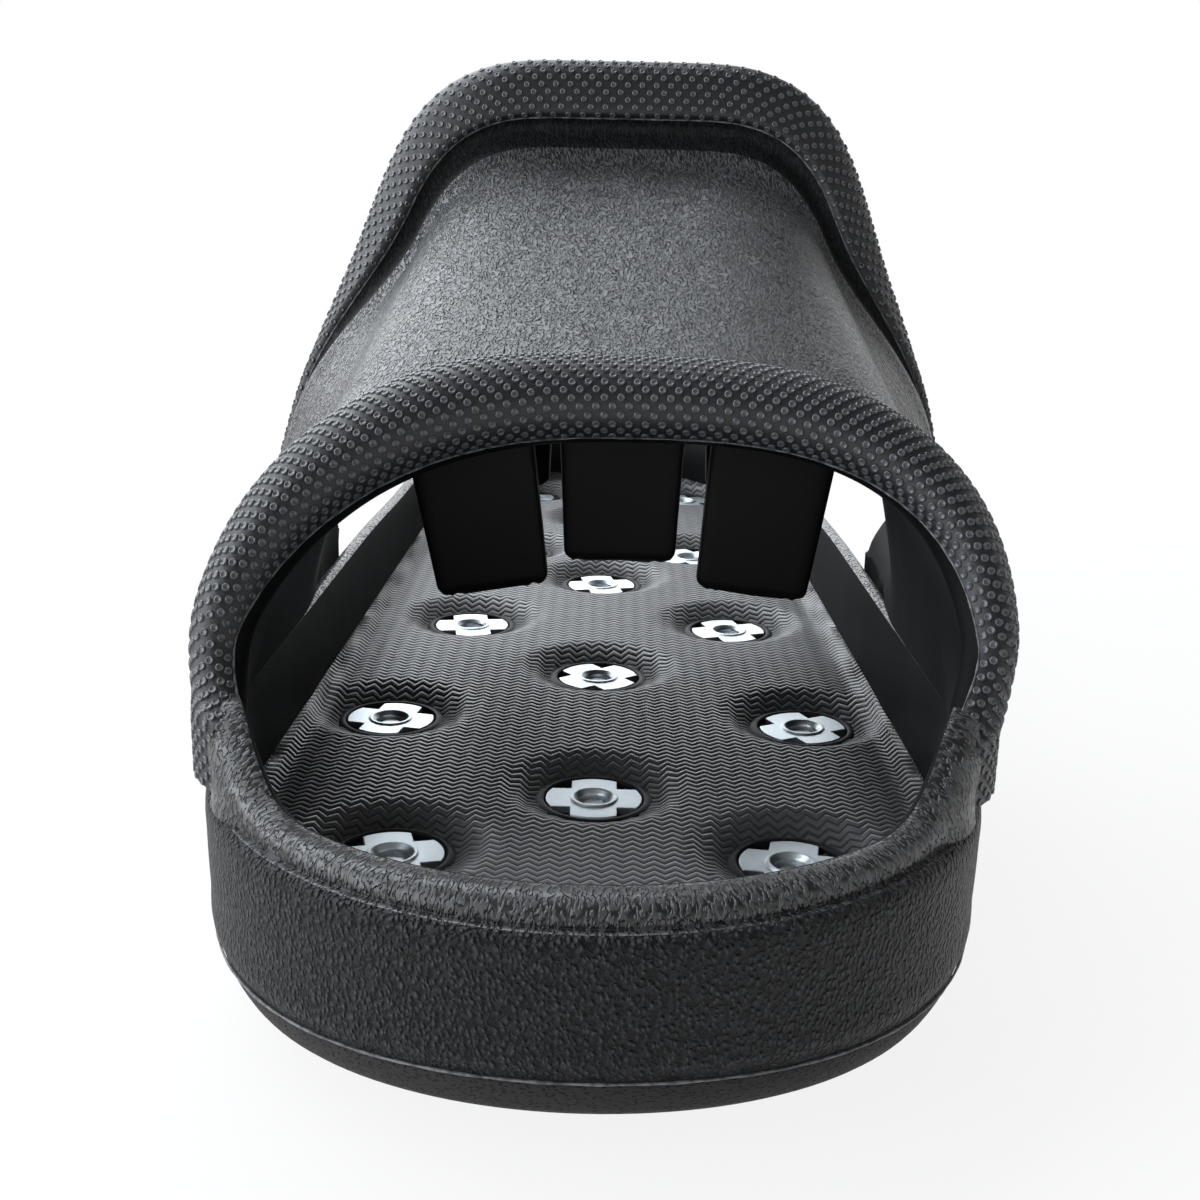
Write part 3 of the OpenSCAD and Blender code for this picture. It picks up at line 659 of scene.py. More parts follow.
class Paint:
    """The nodes of one material or of the world."""

    def __init__(self, holder):
        holder.use_nodes = True
        self.holder = holder
        self.tree = holder.node_tree
        self.tree.nodes.clear()

    def node(self, kind, options=None, sockets=None, out=0):
        """Adds a node: its options first, then the values or links of its sockets."""
        made = self.tree.nodes.new("ShaderNode" + kind)
        for key, value in (options or {}).items():
            setattr(made, key, value)
        for key, value in (sockets or {}).items():
            if isinstance(value, Value):
                self.tree.links.new(value.socket, made.inputs[key])
            else:
                made.inputs[key].default_value = value
        return Value(self, made.outputs[out]) if made.outputs else made

    def vector(self, operation, *values, out=0):
        """A Vector Math node."""
        return self.node("VectorMath", {"operation": operation}, dict(enumerate(values)), out)

    def place(self):
        """Object coordinates."""
        return self.node("TexCoord", out="Object")

    def parts(self, where):
        """The three coordinates of a place."""
        split = self.node("SeparateXYZ", {}, {0: where}).socket.node
        return [Value(self, socket) for socket in split.outputs]

    def noise(self, where, scale, detail=2.0, roughness=0.5, distortion=0.0, out=0):
        """Soft noise from 0 to 1."""
        return self.node("TexNoise", {}, {"Vector": where, "Scale": scale, "Detail": detail,
                                          "Roughness": roughness, "Distortion": distortion}, out)

    def cells(self, where, scale, randomness=1.0):
        """Distance from the middles of scattered cells."""
        return self.node("TexVoronoi", {}, {
            "Vector": where, "Scale": scale, "Randomness": randomness}, out="Distance")

    def stretched(self, where, factors):
        """A place scaled by a factor along each axis."""
        return self.vector("MULTIPLY", where, factors)

    def shaken(self, where, scale, reach):
        """A place moved about by noise."""
        swirl = self.noise(where, scale, detail=1.0, out="Color")
        centred = self.vector("SUBTRACT", swirl, (0.5, 0.5, 0.5))
        return self.vector("MULTIPLY_ADD", centred, (reach, reach, reach), where)

    def seen(self):
        """1 on the rays that look at the background: straight, mirrored or through glass."""
        camera, glossy, through = (self.node("LightPath", out=f"Is {kind} Ray")
                                   for kind in ("Camera", "Glossy", "Transmission"))
        return camera + glossy + through

    def ramp(self, value, low, high, start=0.0, end=1.0):
        """A smooth change from start to end as the value goes from low to high."""
        return self.node("MapRange", {"interpolation_type": "SMOOTHSTEP"}, {
            "Value": value, "From Min": low, "From Max": high, "To Min": start, "To Max": end})

    def mixed(self, factor, first, second):
        """A colour between two colours."""
        return self.node("Mix", {"data_type": "RGBA"}, {0: factor, 6: first, 7: second}, out=2)

    def bump(self, height, depth):
        """A normal from a height map with a depth in metres."""
        return self.node("Bump", {}, {"Height": height, "Distance": depth, "Strength": 1.0})

    def surface(self, sockets):
        """Ends the material in a Principled shader."""
        shader = self.node("BsdfPrincipled", {}, sockets)
        self.node("OutputMaterial", {}, {"Surface": shader})
        return self.holder

    def foam(self, base, mix, levels, roughness, specular, height, depth):
        """Ends the material in foam: its colour between two levels of the base, and its grain."""
        return self.surface({
            "Base Color": self.mixed(mix, *(rgba(base, level) for level in levels)), "Roughness": roughness,
            "Specular IOR Level": specular, "Normal": self.bump(height, depth)})


def rgba(rgb, level):
    """A colour at a level, with full alpha."""
    return (*(min(1.0, channel * level) for channel in rgb), 1.0)


def new_finish(name, colour_name):
    """A new material's nodes, its object coordinates and its colour."""
    paint = Paint(bpy.data.materials.new(name))
    return paint, paint.place(), getattr(settings().finishes, colour_name)


def pebbled_foam():
    """Leathery grain of the tray: round pebbles that run together into worms, painted paler on their tops as
    a painted highlight and darker between them as painted shade.
    """
    paint, where, base = new_finish("pebbled_foam", "tray")
    worms = paint.noise(paint.shaken(where, 700, 0.0007), 1350, detail=1, roughness=0.4)
    tops = paint.ramp(worms, 0.42, 0.58)
    leaning = paint.stretched(paint.shaken(where, 300, 0.0012), (1.0, 1.0, 0.75))
    pebbles = paint.ramp(paint.cells(leaning, 1150, randomness=0.9), 0.02, 0.62, 1.0, 0.0)
    patches = paint.noise(where, 45, detail=3)
    # Pebble tops painted paler as a painted highlight, the gaps between them darker as painted shade
    return paint.foam(base, 0.15 * tops + 0.75 * pebbles ** 1.4 + 0.1 * patches, (0.05, 3.2),
                      roughness=0.40 + 0.14 * patches, specular=0.18,
                      height=0.25 * tops + 0.85 * pebbles, depth=0.00100)


def streaked_foam():
    """Grain of the rim: worm-like streaks that run over the rim from outside to inside, painted paler as
    painted highlights, with darker foam between them as painted shade.
    """
    paint, where, base = new_finish("streaked_foam", "tray")
    plan = SolePlan()
    x, y, z = paint.parts(where)
    toe_middle, heel_middle = plan.sizes.toe_depth, plan.length - plan.sizes.heel_depth
    ahead = abs(y - plan.y((toe_middle + heel_middle) / 2)) - (heel_middle - toe_middle) / 2
    round_end = x.maths("ARCTAN2", x, ahead)
    out = (x * x + ahead * ahead) ** 0.5
    folded = paint.node("CombineXYZ", {}, {0: round_end * plan.side(0), 1: 0.45 * out, 2: 0.45 * z})
    worms = paint.noise(paint.shaken(folded, 600, 0.0007), 1850, detail=1, roughness=0.4)
    streaks = paint.ramp(worms, 0.43, 0.57)
    patches = paint.noise(where, 45, detail=3)
    # Streaks painted paler as painted highlights, the foam between them darker as painted shade
    return paint.foam(base, 0.8 * streaks + 0.2 * patches, (0.06, 2.6), roughness=0.30 + 0.12 * patches,
                      specular=0.65, height=streaks, depth=0.00070)


def smooth_foam():
    """Smooth foam of the inner walls and webs, with faint mould marks, painted near-black as painted shade
    inside the shoe.
    """
    paint, where, base = new_finish("smooth_foam", "inside")
    cloud = paint.noise(where, 60, detail=3)
    return paint.foam(base, cloud, (0.7, 1.3), roughness=0.52 + 0.12 * cloud, specular=0.07,
                      height=paint.noise(where, 1500), depth=0.00004)


def crease_height(paint, where):
    """Fine creases like a fingerprint, that run along the upper."""
    folded = paint.stretched(paint.shaken(where, 150, 0.0030), (1.0, 0.45, 0.45))
    worms = paint.noise(paint.shaken(folded, 900, 0.0004), 2000, detail=1, roughness=0.45, distortion=0.5)
    return paint.ramp(worms, 0.42, 0.58)


def creased_foam():
    """Fine worm-like creases of the upper's panel, their ridges painted paler as painted highlights and the
    folds between them darker as painted shade.
    """
    paint, where, base = new_finish("creased_foam", "upper")
    ridges = crease_height(paint, where)
    patches = paint.noise(where, 38, detail=3)
    # Crease ridges painted paler as painted highlights, the folds between them darker as painted shade
    return paint.foam(base, 0.75 * ridges + 0.25 * patches, (0.05, 2.4), roughness=0.34 + 0.10 * patches,
                      specular=0.55, height=ridges + 0.3 * paint.noise(where, 130), depth=0.00105)


def gutter_foam():
    """Dull foam of the gutter in front of the collar, with faint wrinkles, in the inner walls' near-black
    colour as painted shade under the collar's lip.
    """
    paint, where, base = new_finish("gutter_foam", "inside")
    ridges = crease_height(paint, where)
    # The near-black inside colour here is painted shade under the collar's lip
    return paint.foam(base, ridges, (0.7, 2.4), roughness=0.55, specular=0.15, height=ridges, depth=0.00012)


def dotted_foam(name, level, roughness):
    """Satin foam of the bead and the collar at a level of its colour: low under the dots as painted shade,
    high on the dots as a painted highlight, where they are also smoother.
    """
    paint, where, base = new_finish(name, "dots")
    patches = paint.noise(where, 60, detail=3)
    return paint.foam(base, patches, (0.8 * level, 1.2 * level), roughness=roughness + 0.14 * patches,
                      specular=0.5, height=paint.noise(where, 2600), depth=0.00005)


def ribbed_foam():
    """Satin foam of the footbed: glossy on its ribs' crests and painted paler there as a painted sheen,
    rougher between them and in the dimples and painted darker there as painted shade.
    """
    paint, where, base = new_finish("ribbed_foam", "footbed")
    f, plan = settings().footbed, SolePlan()
    x, y, z = paint.parts(where)
    zigzag = x.maths("PINGPONG", x / (f.zigzag_width / 2), 1.0)
    turn = (y + f.zigzag_sweep * (zigzag - 0.5) - plan.toe_y) * (2 * math.pi / f.rib_pitch)
    crest = paint.ramp(turn.maths("COSINE", turn), -0.85, -0.05)
    # Depth in a dimple: it darkens the colour there as painted shade round the nuts, and makes the foam
    # rougher
    sunk_and_shaded = paint.ramp(z, plan.foot_z - f.dimple_depth, plan.foot_z - f.rib_height, 1.0, 0.0)
    patches = paint.noise(where, 50, detail=3)
    # Colour: the crests painted paler as a painted sheen, the valleys darker as painted shade
    return paint.foam(base, crest * (0.75 + 0.25 * patches) * (1 - 0.7 * sunk_and_shaded), (0.12, 2.7),
                      roughness=0.58 - 0.26 * crest + 0.10 * patches + 0.3 * sunk_and_shaded, specular=0.75,
                      height=paint.noise(where, 2200), depth=0.00006)


def lip_foam():
    """Smooth satin foam round the tee nuts, in the inner walls' near-black colour as painted shade in the
    pits round the nuts.
    """
    paint, where, base = new_finish("lip_foam", "inside")
    cloud = paint.noise(where, 160)
    return paint.foam(base, cloud, (0.5, 1.2), roughness=0.46 + 0.14 * cloud, specular=0.15,
                      # The near-black inside colour here is painted shade round the nuts
                      height=paint.noise(where, 1400), depth=0.00005)


def trim_foam():
    """Foam of the thin moulding lines, where the mould's halves met, painted paler than the foam round it as
    a painted highlight along their edges.
    """
    paint, where, base = new_finish("trim_foam", "trim")
    breaks = paint.noise(where, 650)
    return paint.foam(base, paint.ramp(breaks, 0.35, 0.65), (0.35, 1.2), roughness=0.40 + 0.20 * breaks,
                      specular=0.45, height=paint.noise(where, 2400), depth=0.00008)


def outsole_foam():
    """Finer, browner grain of the outsole, with flat pits."""
    paint, where, base = new_finish("outsole_foam", "outsole")
    pits = paint.cells(paint.stretched(paint.shaken(where, 700, 0.0006), (1.0, 1.0, 1.9)), 1250)
    grain = paint.ramp(pits, 0.12, 0.45)
    patches = paint.noise(where, 70, detail=3)
    return paint.foam(base, 0.6 * grain + 0.4 * patches, (0.25, 1.5), roughness=0.58 + 0.14 * patches,
                      specular=0.15, height=grain, depth=0.00030)


def fin_foam():
    """Matt black foam of the fins, with faint trim marks, painted darker than the rest of the foam as painted
    shade under the upper.
    """
    paint, where, base = new_finish("fin_foam", "fins")
    streaks = paint.noise(paint.stretched(where, (1.0, 1.0, 0.25)), 900, detail=3)
    cloud = paint.noise(where, 80, detail=3)
    return paint.foam(base, cloud, (0.7, 1.35), roughness=0.46 + 0.14 * cloud, specular=0.15,
                      height=streaks, depth=0.00005)


def plated_metal(name, colour_name, roughness, wear):
    """Plated metal with soft spangles and small scratches."""
    paint, where, base = new_finish(name, colour_name)
    spangle = paint.noise(where, 420, detail=3)
    scratches = paint.noise(paint.stretched(where, (1.0, 0.2, 1.0)), 2600)
    return paint.surface({
        "Base Color": paint.mixed(spangle, rgba(base, 1 - wear), rgba(base, 1.06)), "Metallic": 1.0,
        "Roughness": roughness + 0.16 * spangle, "Normal": paint.bump(scratches, 0.00002)})


def pale_floor():
    """White studio floor that keeps the shadow."""
    paint, where, base = new_finish("pale_floor", "floor")
    tint = paint.mixed(paint.noise(where, 3), rgba(base, 0.98), rgba(base, 1.02))
    matt = paint.node("BsdfDiffuse", {}, {"Color": tint})
    white = paint.node("Emission", {}, {"Color": (1, 1, 1, 1), "Strength": 1.0})
    away = paint.vector("LENGTH", where, out="Value")
    whiteness = paint.ramp(away, 0.2, 0.6, 0.87, 1.0) * paint.seen()
    both = paint.node("MixShader", {}, {0: whiteness, 1: matt, 2: white})
    paint.node("OutputMaterial", {}, {"Surface": both})
    return paint.holder


# Pieces

class OVERSHOE_OT_outsole(bpy.types.Operator):
    """Lower foam layer with a rounded edge, chevron grooves and a boss round each stud"""

    bl_idname = "overshoe.outsole"
    bl_label = "Outsole"

    columns, row_step = 260, 0.0012
    # Profile of the edge: inset, and height as a share of the thickness
    edge = ((0.0075, 0.0), (0.0060, 0.02), (0.0046, 0.11), (0.0034, 0.24), (0.0026, 0.41), (0.0014, 0.80),
            (0.0012, 0.93), (0.0014, 1.0))
    # Chevron grooves: their size, how far their tool stands out of the sole, and their places along it
    groove_width, groove_depth, groove_rise, spare = 0.0035, 0.0025, 0.014, 0.001
    grooves = np.arange(0.1, 0.9, 0.0527)
    boss_radius, boss_sides = 0.0085, 48

    def groove_tool(self, plan):
        """All the chevron grooves as one object."""
        reach, low = plan.sizes.toe_width / 2, plan.bottom_z - self.spare
        across = np.array([0, self.groove_width, 0])
        up = np.array([0, 0, self.groove_depth + self.spare])
        bars = []
        for front in plan.y(self.grooves * plan.length - self.groove_rise):
            back = front + self.groove_rise
            line = np.array([[-reach, back, low], [0, front, low], [reach, back, low]])
            bar = grid_piece("groove", np.array([line, line + across, line + across + up, line + up, line]))
            bars.append(close_up(bar))
        return joined(bars)

    def boss_tool(self, plan):
        """A boss round every stud as one object."""
        height = self.groove_depth + self.spare
        bosses = []
        for x, y in stud_places():
            bpy.ops.mesh.primitive_cylinder_add(
                vertices=self.boss_sides, radius=self.boss_radius, depth=height,
                location=(x, y, plan.bottom_z + height / 2))
            bosses.append(added("boss"))
        tool = joined(bosses)
        bpy.ops.object.transform_apply(location=True, rotation=True, scale=True)
        return tool

    def execute(self, context):
        plan = SolePlan()
        thickness = plan.tray_z - plan.bottom_z
        stops = []
        for inset, height in self.edge:
            x, d = plan.ring(self.columns, inset, inset, inset)
            stops.append(point(x, plan.y(d), plan.bottom_z + height * thickness + plan.curl(d)))
        rows, _ = thread(np.array(stops), self.row_step)
        piece = close_up(grid_piece("outsole_body", rows))
        cut(piece, self.groove_tool(plan), "DIFFERENCE")
        cut(piece, self.boss_tool(plan), "UNION")
        dress(piece, "outsole_foam", outsole_foam(), nodes=["outsole"])
        return {"FINISHED"}


class OVERSHOE_OT_tray(bpy.types.Operator):
    """Midsole with its toe bumper, ledge line, side walls and heel rim, and the flash line under it"""

    bl_idname = "overshoe.tray"
    bl_label = "Tray"

    # Numbers of its materials
    PEBBLED, SMOOTH, STREAKED = range(3)
    columns, row_step = 320, 0.0013
    # Outer wall: inset, height below the ledge as a share of the wall's height, share of the curl
    wall = ((0.0014, 1.0, 1.0), (0.0008, 0.965, 0.9), (0.0002, 0.654, 0.5), (0.0, 0.26, 0.1),
            (0.0, 0.10, 0.0), (0.0003, 0.035, 0.0), (0.0012, 0.0, 0.0))
    # Rim's face: insets behind the rim's own at the side, toe and heel, and share of its height
    face = ((0.0001, 0.0005, 0.0004, 0.0), (0.0001, 0.0005, 0.0004, 0.11), (0, 0.0008, 0.0006, 0.40),
            (0, 0.0019, 0.0016, 0.78), (0.0006, 0.0033, 0.0028, 0.96))
    # Rim's top and inner face: insets before the wall's thickness, and share of its height
    top = ((0.0019, 0.0038, 0.0034, 1.0), (0.0007, 0.0017, 0.0016, 0.96), (0.0001, 0.0003, 0.0003, 0.76))
    # Where the rim runs up to a point in front of the bead, how far its face and top rise there,
    # and how far the face stands out
    horn = (0.030, 0.044, 0.050, 0.056)
    horn_rise = (0, 0, 0.0005, 0.0028, 0.0042, 0.0046, 0.0048, 0.0040)
    horn_out = (0, 0, 0.0005, 0.0017, 0.0014, 0, 0, 0)
    # Where the ledge fades into the wall beside the upper's front, and the face's inset there
    fade, flush = (0.028, 0.037, 0.041, 0.046), 0.0002

    def layer(self, plan, insets, height):
        """A ring of the tray at a height."""
        x, d = plan.ring(self.columns, *insets)
        return point(x, plan.y(d), height(d))

    def execute(self, context):
        plan = SolePlan()
        s = plan.sizes
        stops = [self.layer(plan, (inset,) * 3, lambda d: plan.ledge_z - drop * (plan.ledge_z - plan.tray_z)
                            + curl * plan.curl(d)) for inset, drop, curl in self.wall]

        def rim_layer(insets, part):
            return self.layer(plan, insets, lambda d: plan.ledge_z + part * (plan.rim_z(d) - plan.ledge_z))

        for side, toe, heel, part in self.face:
            row = rim_layer((s.rim_inset + side, s.rim_inset + toe, s.rim_inset + heel), part)
            outer = rim_layer((self.flush + side,) * 3, part)
            d = row[:, 1] - plan.toe_y
            stops.append(between(row, outer, (1 - part) * hump(*self.fade, d)[:, None]))
        for side, toe, heel, part in self.top:
            stops.append(rim_layer((s.side_wall - side, s.toe_wall - toe, s.heel_wall - heel), part))
        for row, rise, out in zip(stops[len(self.wall):], self.horn_rise, self.horn_out):
            peak = hump(*self.horn, row[:, 1] - plan.toe_y)
            row[:, 2] += rise * peak
            row[:, 0] += out * peak * np.sign(row[:, 0])
        stops.append(self.layer(plan, (s.side_wall, s.toe_wall, s.heel_wall), lambda d: plan.floor_z + 0 * d))
        rows, marks = thread(np.array(stops), self.row_step)
        finish = np.full(len(rows) - 1, self.PEBBLED)
        finish[marks[len(self.wall) - 1]:] = self.STREAKED
        finish[marks[len(self.wall) + len(self.face) + 1]:] = self.SMOOTH
        piece = close_up(grid_piece("tray_body", rows, finish))
        dress(piece, "tray_foam", pebbled_foam(), smooth_foam(), streaked_foam(), nodes=["tray"])
        self.flash_line(plan)
        return {"FINISHED"}

    def flash_line(self, plan):
        """Thin moulding line where the outsole meets the tray."""
        x, d = plan.ring(self.columns, *(self.wall[0][0] / 2,) * 3)
        seam = point(x, plan.y(d), plan.tray_z + plan.curl(d))
        line = moulding_line("flash_line", seam, (0, 0, 1), plan.sizes.flash / 2, closed=True)
        dress(line, "tray_foam", trim_foam())


class OVERSHOE_OT_footbed(bpy.types.Operator):
    """Footbed with zigzag ribs, a climbing edge and a soft dimple for each tee nut"""

    bl_idname = "overshoe.footbed"
    bl_label = "Footbed"

    # Number of the lips' material, after the ribbed one
    LIP = 1
    rows_per_rib = 4
    # Points of the outline, width over which the ribs fade there, and distance at which its corners merge
    edge_points, rib_fade, edge_merge = 500, 0.0012, 20 * MERGE
    # Where the side of a rib starts and ends, as shares of the pitch from its crest
    rib_side = (0.22, 0.5)
    # Lip round a tee nut: radius, and height over the footbed
    lip_profile = ((0.0082, -0.0042), (0.00822, -0.0028), (0.00833, -0.00248), (0.0086, -0.00234),
                   (0.0090, -0.00236), (0.0097, -0.00262), (0.0101, -0.0030), (0.0090, -0.0044),
                   (0.0082, -0.0042))
    lip_sides = 72
    # Radius and depth of the hole under a tee nut's bore
    bore_radius, bore_depth = 0.0034, 0.006

    def execute(self, context):
        plan = SolePlan()
        f, s = settings().footbed, plan.sizes
        insets = [wall + s.edge_gap for wall in (s.side_wall, s.toe_wall, s.heel_wall)]
        half = f.zigzag_width / 2
        reach = math.ceil(s.toe_width / 2 / half)
        along = f.rib_pitch / self.rows_per_rib
        first, last = insets[1], plan.length - insets[2]
        column = np.arange(-reach, reach + 1)
        crests = np.arange(first // along, last // along + 2) * along
        d = np.clip(crests[:, None] + f.zigzag_sweep / 2 * (-1.0) ** column, first, last)
        width = plan.half_width(d, *insets)
        rows = point(np.clip(column * half + 0 * d, -width, width), plan.y(d), plan.foot_z + 0 * d)
        piece = grid_piece("footbed_body", rows)
        seats = stud_places()
        with editing(piece, "FACE"):
            bpy.ops.mesh.remove_doubles(threshold=self.edge_merge)
        places = corners(piece)
        places[:, 2] = self.height(plan, places, seats, insets)
        move_corners(piece, places)
        drop = (0, 0, plan.floor_z - 2 * plan.foot_z)
        with editing(piece, "EDGE"):
            bpy.ops.mesh.select_all(action="DESELECT")
            bpy.ops.mesh.select_non_manifold(extend=False, use_wire=False, use_boundary=True,
                                             use_multi_face=False, use_non_contiguous=False, use_verts=False)
            bpy.ops.mesh.extrude_region_move(TRANSFORM_OT_translate={"value": drop})
        places = corners(piece)
        places[:, 2] = np.maximum(places[:, 2], plan.floor_z)
        move_corners(piece, places)
        close_up(piece)
        pieces = [piece, *self.lips(plan, seats)]
        for material in (ribbed_foam(), lip_foam()):
            for part in pieces:
                part.data.materials.append(material)
        dress(joined(pieces), "footbed_foam", nodes=["footbed"], crease=60)
        return {"FINISHED"}

    def lips(self, plan, seats):
        """A smooth foam lip round each tee nut, one modelled and the others copied from it."""
        turn = np.linspace(0, 2 * np.pi, self.lip_sides + 1)
        r, z = np.array(self.lip_profile).T[:, :, None]
        rows = point(seats[0][0] + r * np.cos(turn), seats[0][1] + r * np.sin(turn), plan.foot_z + z)
        first = close_up(grid_piece("lip", rows, np.full(len(rows) - 1, self.LIP)), caps=False)
        lips = [first]
        for seat in seats[1:]:
            activate(first)
            bpy.ops.object.duplicate()
            bpy.ops.transform.translate(value=(*(seat - seats[0]), 0))
            bpy.ops.object.transform_apply(location=True)
            lips.append(bpy.context.object)
        return lips

    def height(self, plan, places, seats, insets):
        """Height of the footbed's face."""
        f = settings().footbed
        x, y = places[:, 0], places[:, 1]
        half = f.zigzag_width / 2
        zigzag = f.zigzag_sweep * (np.abs((x / half + 1) % 2 - 1) - 0.5)
        phase = np.abs(((y + zigzag - plan.toe_y) / f.rib_pitch + 0.5) % 1 - 0.5)
        rib = 0.5 - smooth(*self.rib_side, phase)
        r = np.linalg.norm(places[:, None, :2] - seats[None], axis=-1).min(axis=1)
        edge_x, edge_d = plan.ring(self.edge_points, *insets)
        edge = np.full(len(x), 1.0)
        for ex, ey in zip(edge_x, plan.y(edge_d)):
            edge = np.minimum(edge, (x - ex) ** 2 + (y - ey) ** 2)
        edge = np.sqrt(edge)
        steep = 1 - smooth(f.seat_radius, f.seat_radius + f.seat_wall, r)
        soft = 1 - smooth(f.seat_radius, f.dimple_radius, r)
        ribs = f.rib_height * rib * (1 - steep) * smooth(0, self.rib_fade, edge)
        return (plan.foot_z - f.rib_height / 2 + ribs - f.seat_depth * steep - f.dimple_depth * soft
                - self.bore_depth * (r < self.bore_radius)
                + f.edge_climb * (1 - smooth(0, f.edge_width, edge)))


class OVERSHOE_OT_upper(bpy.types.Operator):
    """Arched instep shell with its rolled bead, creased panel, flared collar and raised dots"""

    bl_idname = "overshoe.upper"
    bl_label = "Upper"

    # Numbers of its materials
    CREASED, DOTTED, SMOOTH, GUTTER = range(4)
    arch_steps, row_step = 110, 0.0016
    dot_sides, dot_margin = 10, 0.0004
    # Starts of the even and the odd rows of dots as shares of their pitch, and the step for their normals
    stagger, probe = (0.75, 0.25), 0.4
    # How far short of a surface's last row and column its places stay
    short = 0.001
    # Profile of a dot: radius as a share of the dot's, height as a share of its height
    dot_profile = ((0, 0.55), (0.45, 0.72), (0.74, 1.0), (0.94, 0.72), (1.04, -0.15))

    def execute(self, context):
        shell = UpperShell(SolePlan())
        rows, marks = shell.surface(self.arch_steps, self.row_step)
        count = len(shell.stations)
        finish = np.full(len(rows) - 1, self.CREASED)
        finish[:marks[shell.bead_end]] = self.DOTTED
        finish[marks[shell.gutter_start]:marks[shell.band_start]] = self.GUTTER
        finish[marks[shell.band_start]:marks[count]] = self.DOTTED
        finish[marks[count]:] = self.SMOOTH
        # The foam between the dots is darkened as painted shade, and the dots are paled as a painted
        # highlight
        creased, dotted, inside = creased_foam(), dotted_foam("dotted_foam", 0.40, 0.42), smooth_foam()
        polished_lit_dots = dotted_foam("dot_foam", 2.7, 0.20)
        piece = close_up(grid_piece("upper_shell", rows, finish))
        dress(piece, "upper_foam", creased, dotted, inside, gutter_foam(), nodes=["upper"], crease=50)
        s = shell.sizes
        bead_rows = rows[marks[0]:marks[shell.bead_end] + 1]
        collar_rows = rows[marks[shell.band_start]:marks[count - 1] + 1]
        dress(self.dots("bead_dots", bead_rows, s.bead_pitch, s.bead_rows), "upper_foam", polished_lit_dots)
        dress(self.dots("collar_dots", collar_rows, s.collar_pitch, s.collar_rows), "upper_foam", polished_lit_dots)
        trim = trim_foam()
        for name, path in (("bead_trim", bead_rows[0]), ("collar_trim", collar_rows[0])):
            dress(moulding_line(name, path, (0, 1, 0), s.trim / 2), "upper_foam", trim)
        return {"FINISHED"}

    def dots(self, name, rows, pitch, gap):
        """Staggered dots over a band of the shell, in rows along the band's first edge."""
        s = settings().upper
        steps = np.linalg.norm(np.diff(rows, axis=0), axis=2)
        profile = np.concatenate([np.zeros((1, rows.shape[1])), np.cumsum(steps, axis=0)])
        run = lengths(rows[len(rows) // 2])
        columns = math.floor(run[-1] / pitch)
        margin = self.dot_margin + s.dot_width / 2
        places, frames = [], []
        for k, stop in enumerate(np.arange(margin, profile[-1].max() - margin, gap)):
            at_row = np.array([np.interp(stop, depth, np.arange(len(rows))) for depth in profile.T])
            along = (np.arange(columns) + self.stagger[k % 2]) * run[-1] / columns
            column = np.interp(along, run, np.arange(len(run)))
            column = column[np.interp(column, np.arange(len(run)), profile[-1]) > stop + margin]
            if len(column) == 0:
                continue
            row = np.interp(column, np.arange(len(run)), at_row)
            step = self.probe
            across = unit(self.sample(rows, row, column + step) - self.sample(rows, row, column - step))
            down = self.sample(rows, row + step, column) - self.sample(rows, row - step, column)
            out = unit(np.cross(down, across))
            places.append(self.sample(rows, row, column))
            frames.append(np.stack([across, np.cross(out, across), out], axis=1))
        places, frames = np.concatenate(places), np.concatenate(frames)
        seed = self.dot(s)
        shape = corners(seed)
        faces = [list(p.vertices) for p in seed.data.polygons]
        bpy.data.objects.remove(seed)
        points = (places[:, None] + np.einsum("vi,dij->dvj", shape, frames)).reshape(-1, 3)
        copies = [[start + i for i in face] for start in range(0, len(points), len(shape)) for face in faces]
        mesh = bpy.data.meshes.new(name)
        mesh.from_pydata(points, [], copies)
        piece = bpy.data.objects.new(name, mesh)
        bpy.context.scene.collection.objects.link(piece)
        return piece

    def sample(self, rows, row, column):
        """A place between the rows and columns of a surface."""
        row = np.clip(row + 0 * column, 0, rows.shape[0] - 1 - self.short)
        column = np.clip(column, 0, rows.shape[1] - 1 - self.short)
        i, j = row.astype(int), column.astype(int)
        a, b = (row - i)[:, None], (column - j)[:, None]
        near, far = (between(rows[k, j], rows[k, j + 1], b) for k in (i, i + 1))
        return between(near, far, a)

    def dot(self, s):
        """One low button with a sunken top, open underneath where it meets the foam."""
        turn = np.linspace(0, 2 * np.pi, self.dot_sides + 1)
        r, z = np.array(self.dot_profile).T[:, :, None]
        radius = s.dot_width / 2
        rows = point(radius * r * np.cos(turn), radius * r * np.sin(turn), s.dot_height * z)
        seed = grid_piece("dot", rows)
        with editing(seed):
            bpy.ops.mesh.remove_doubles(threshold=MERGE)
        return seed


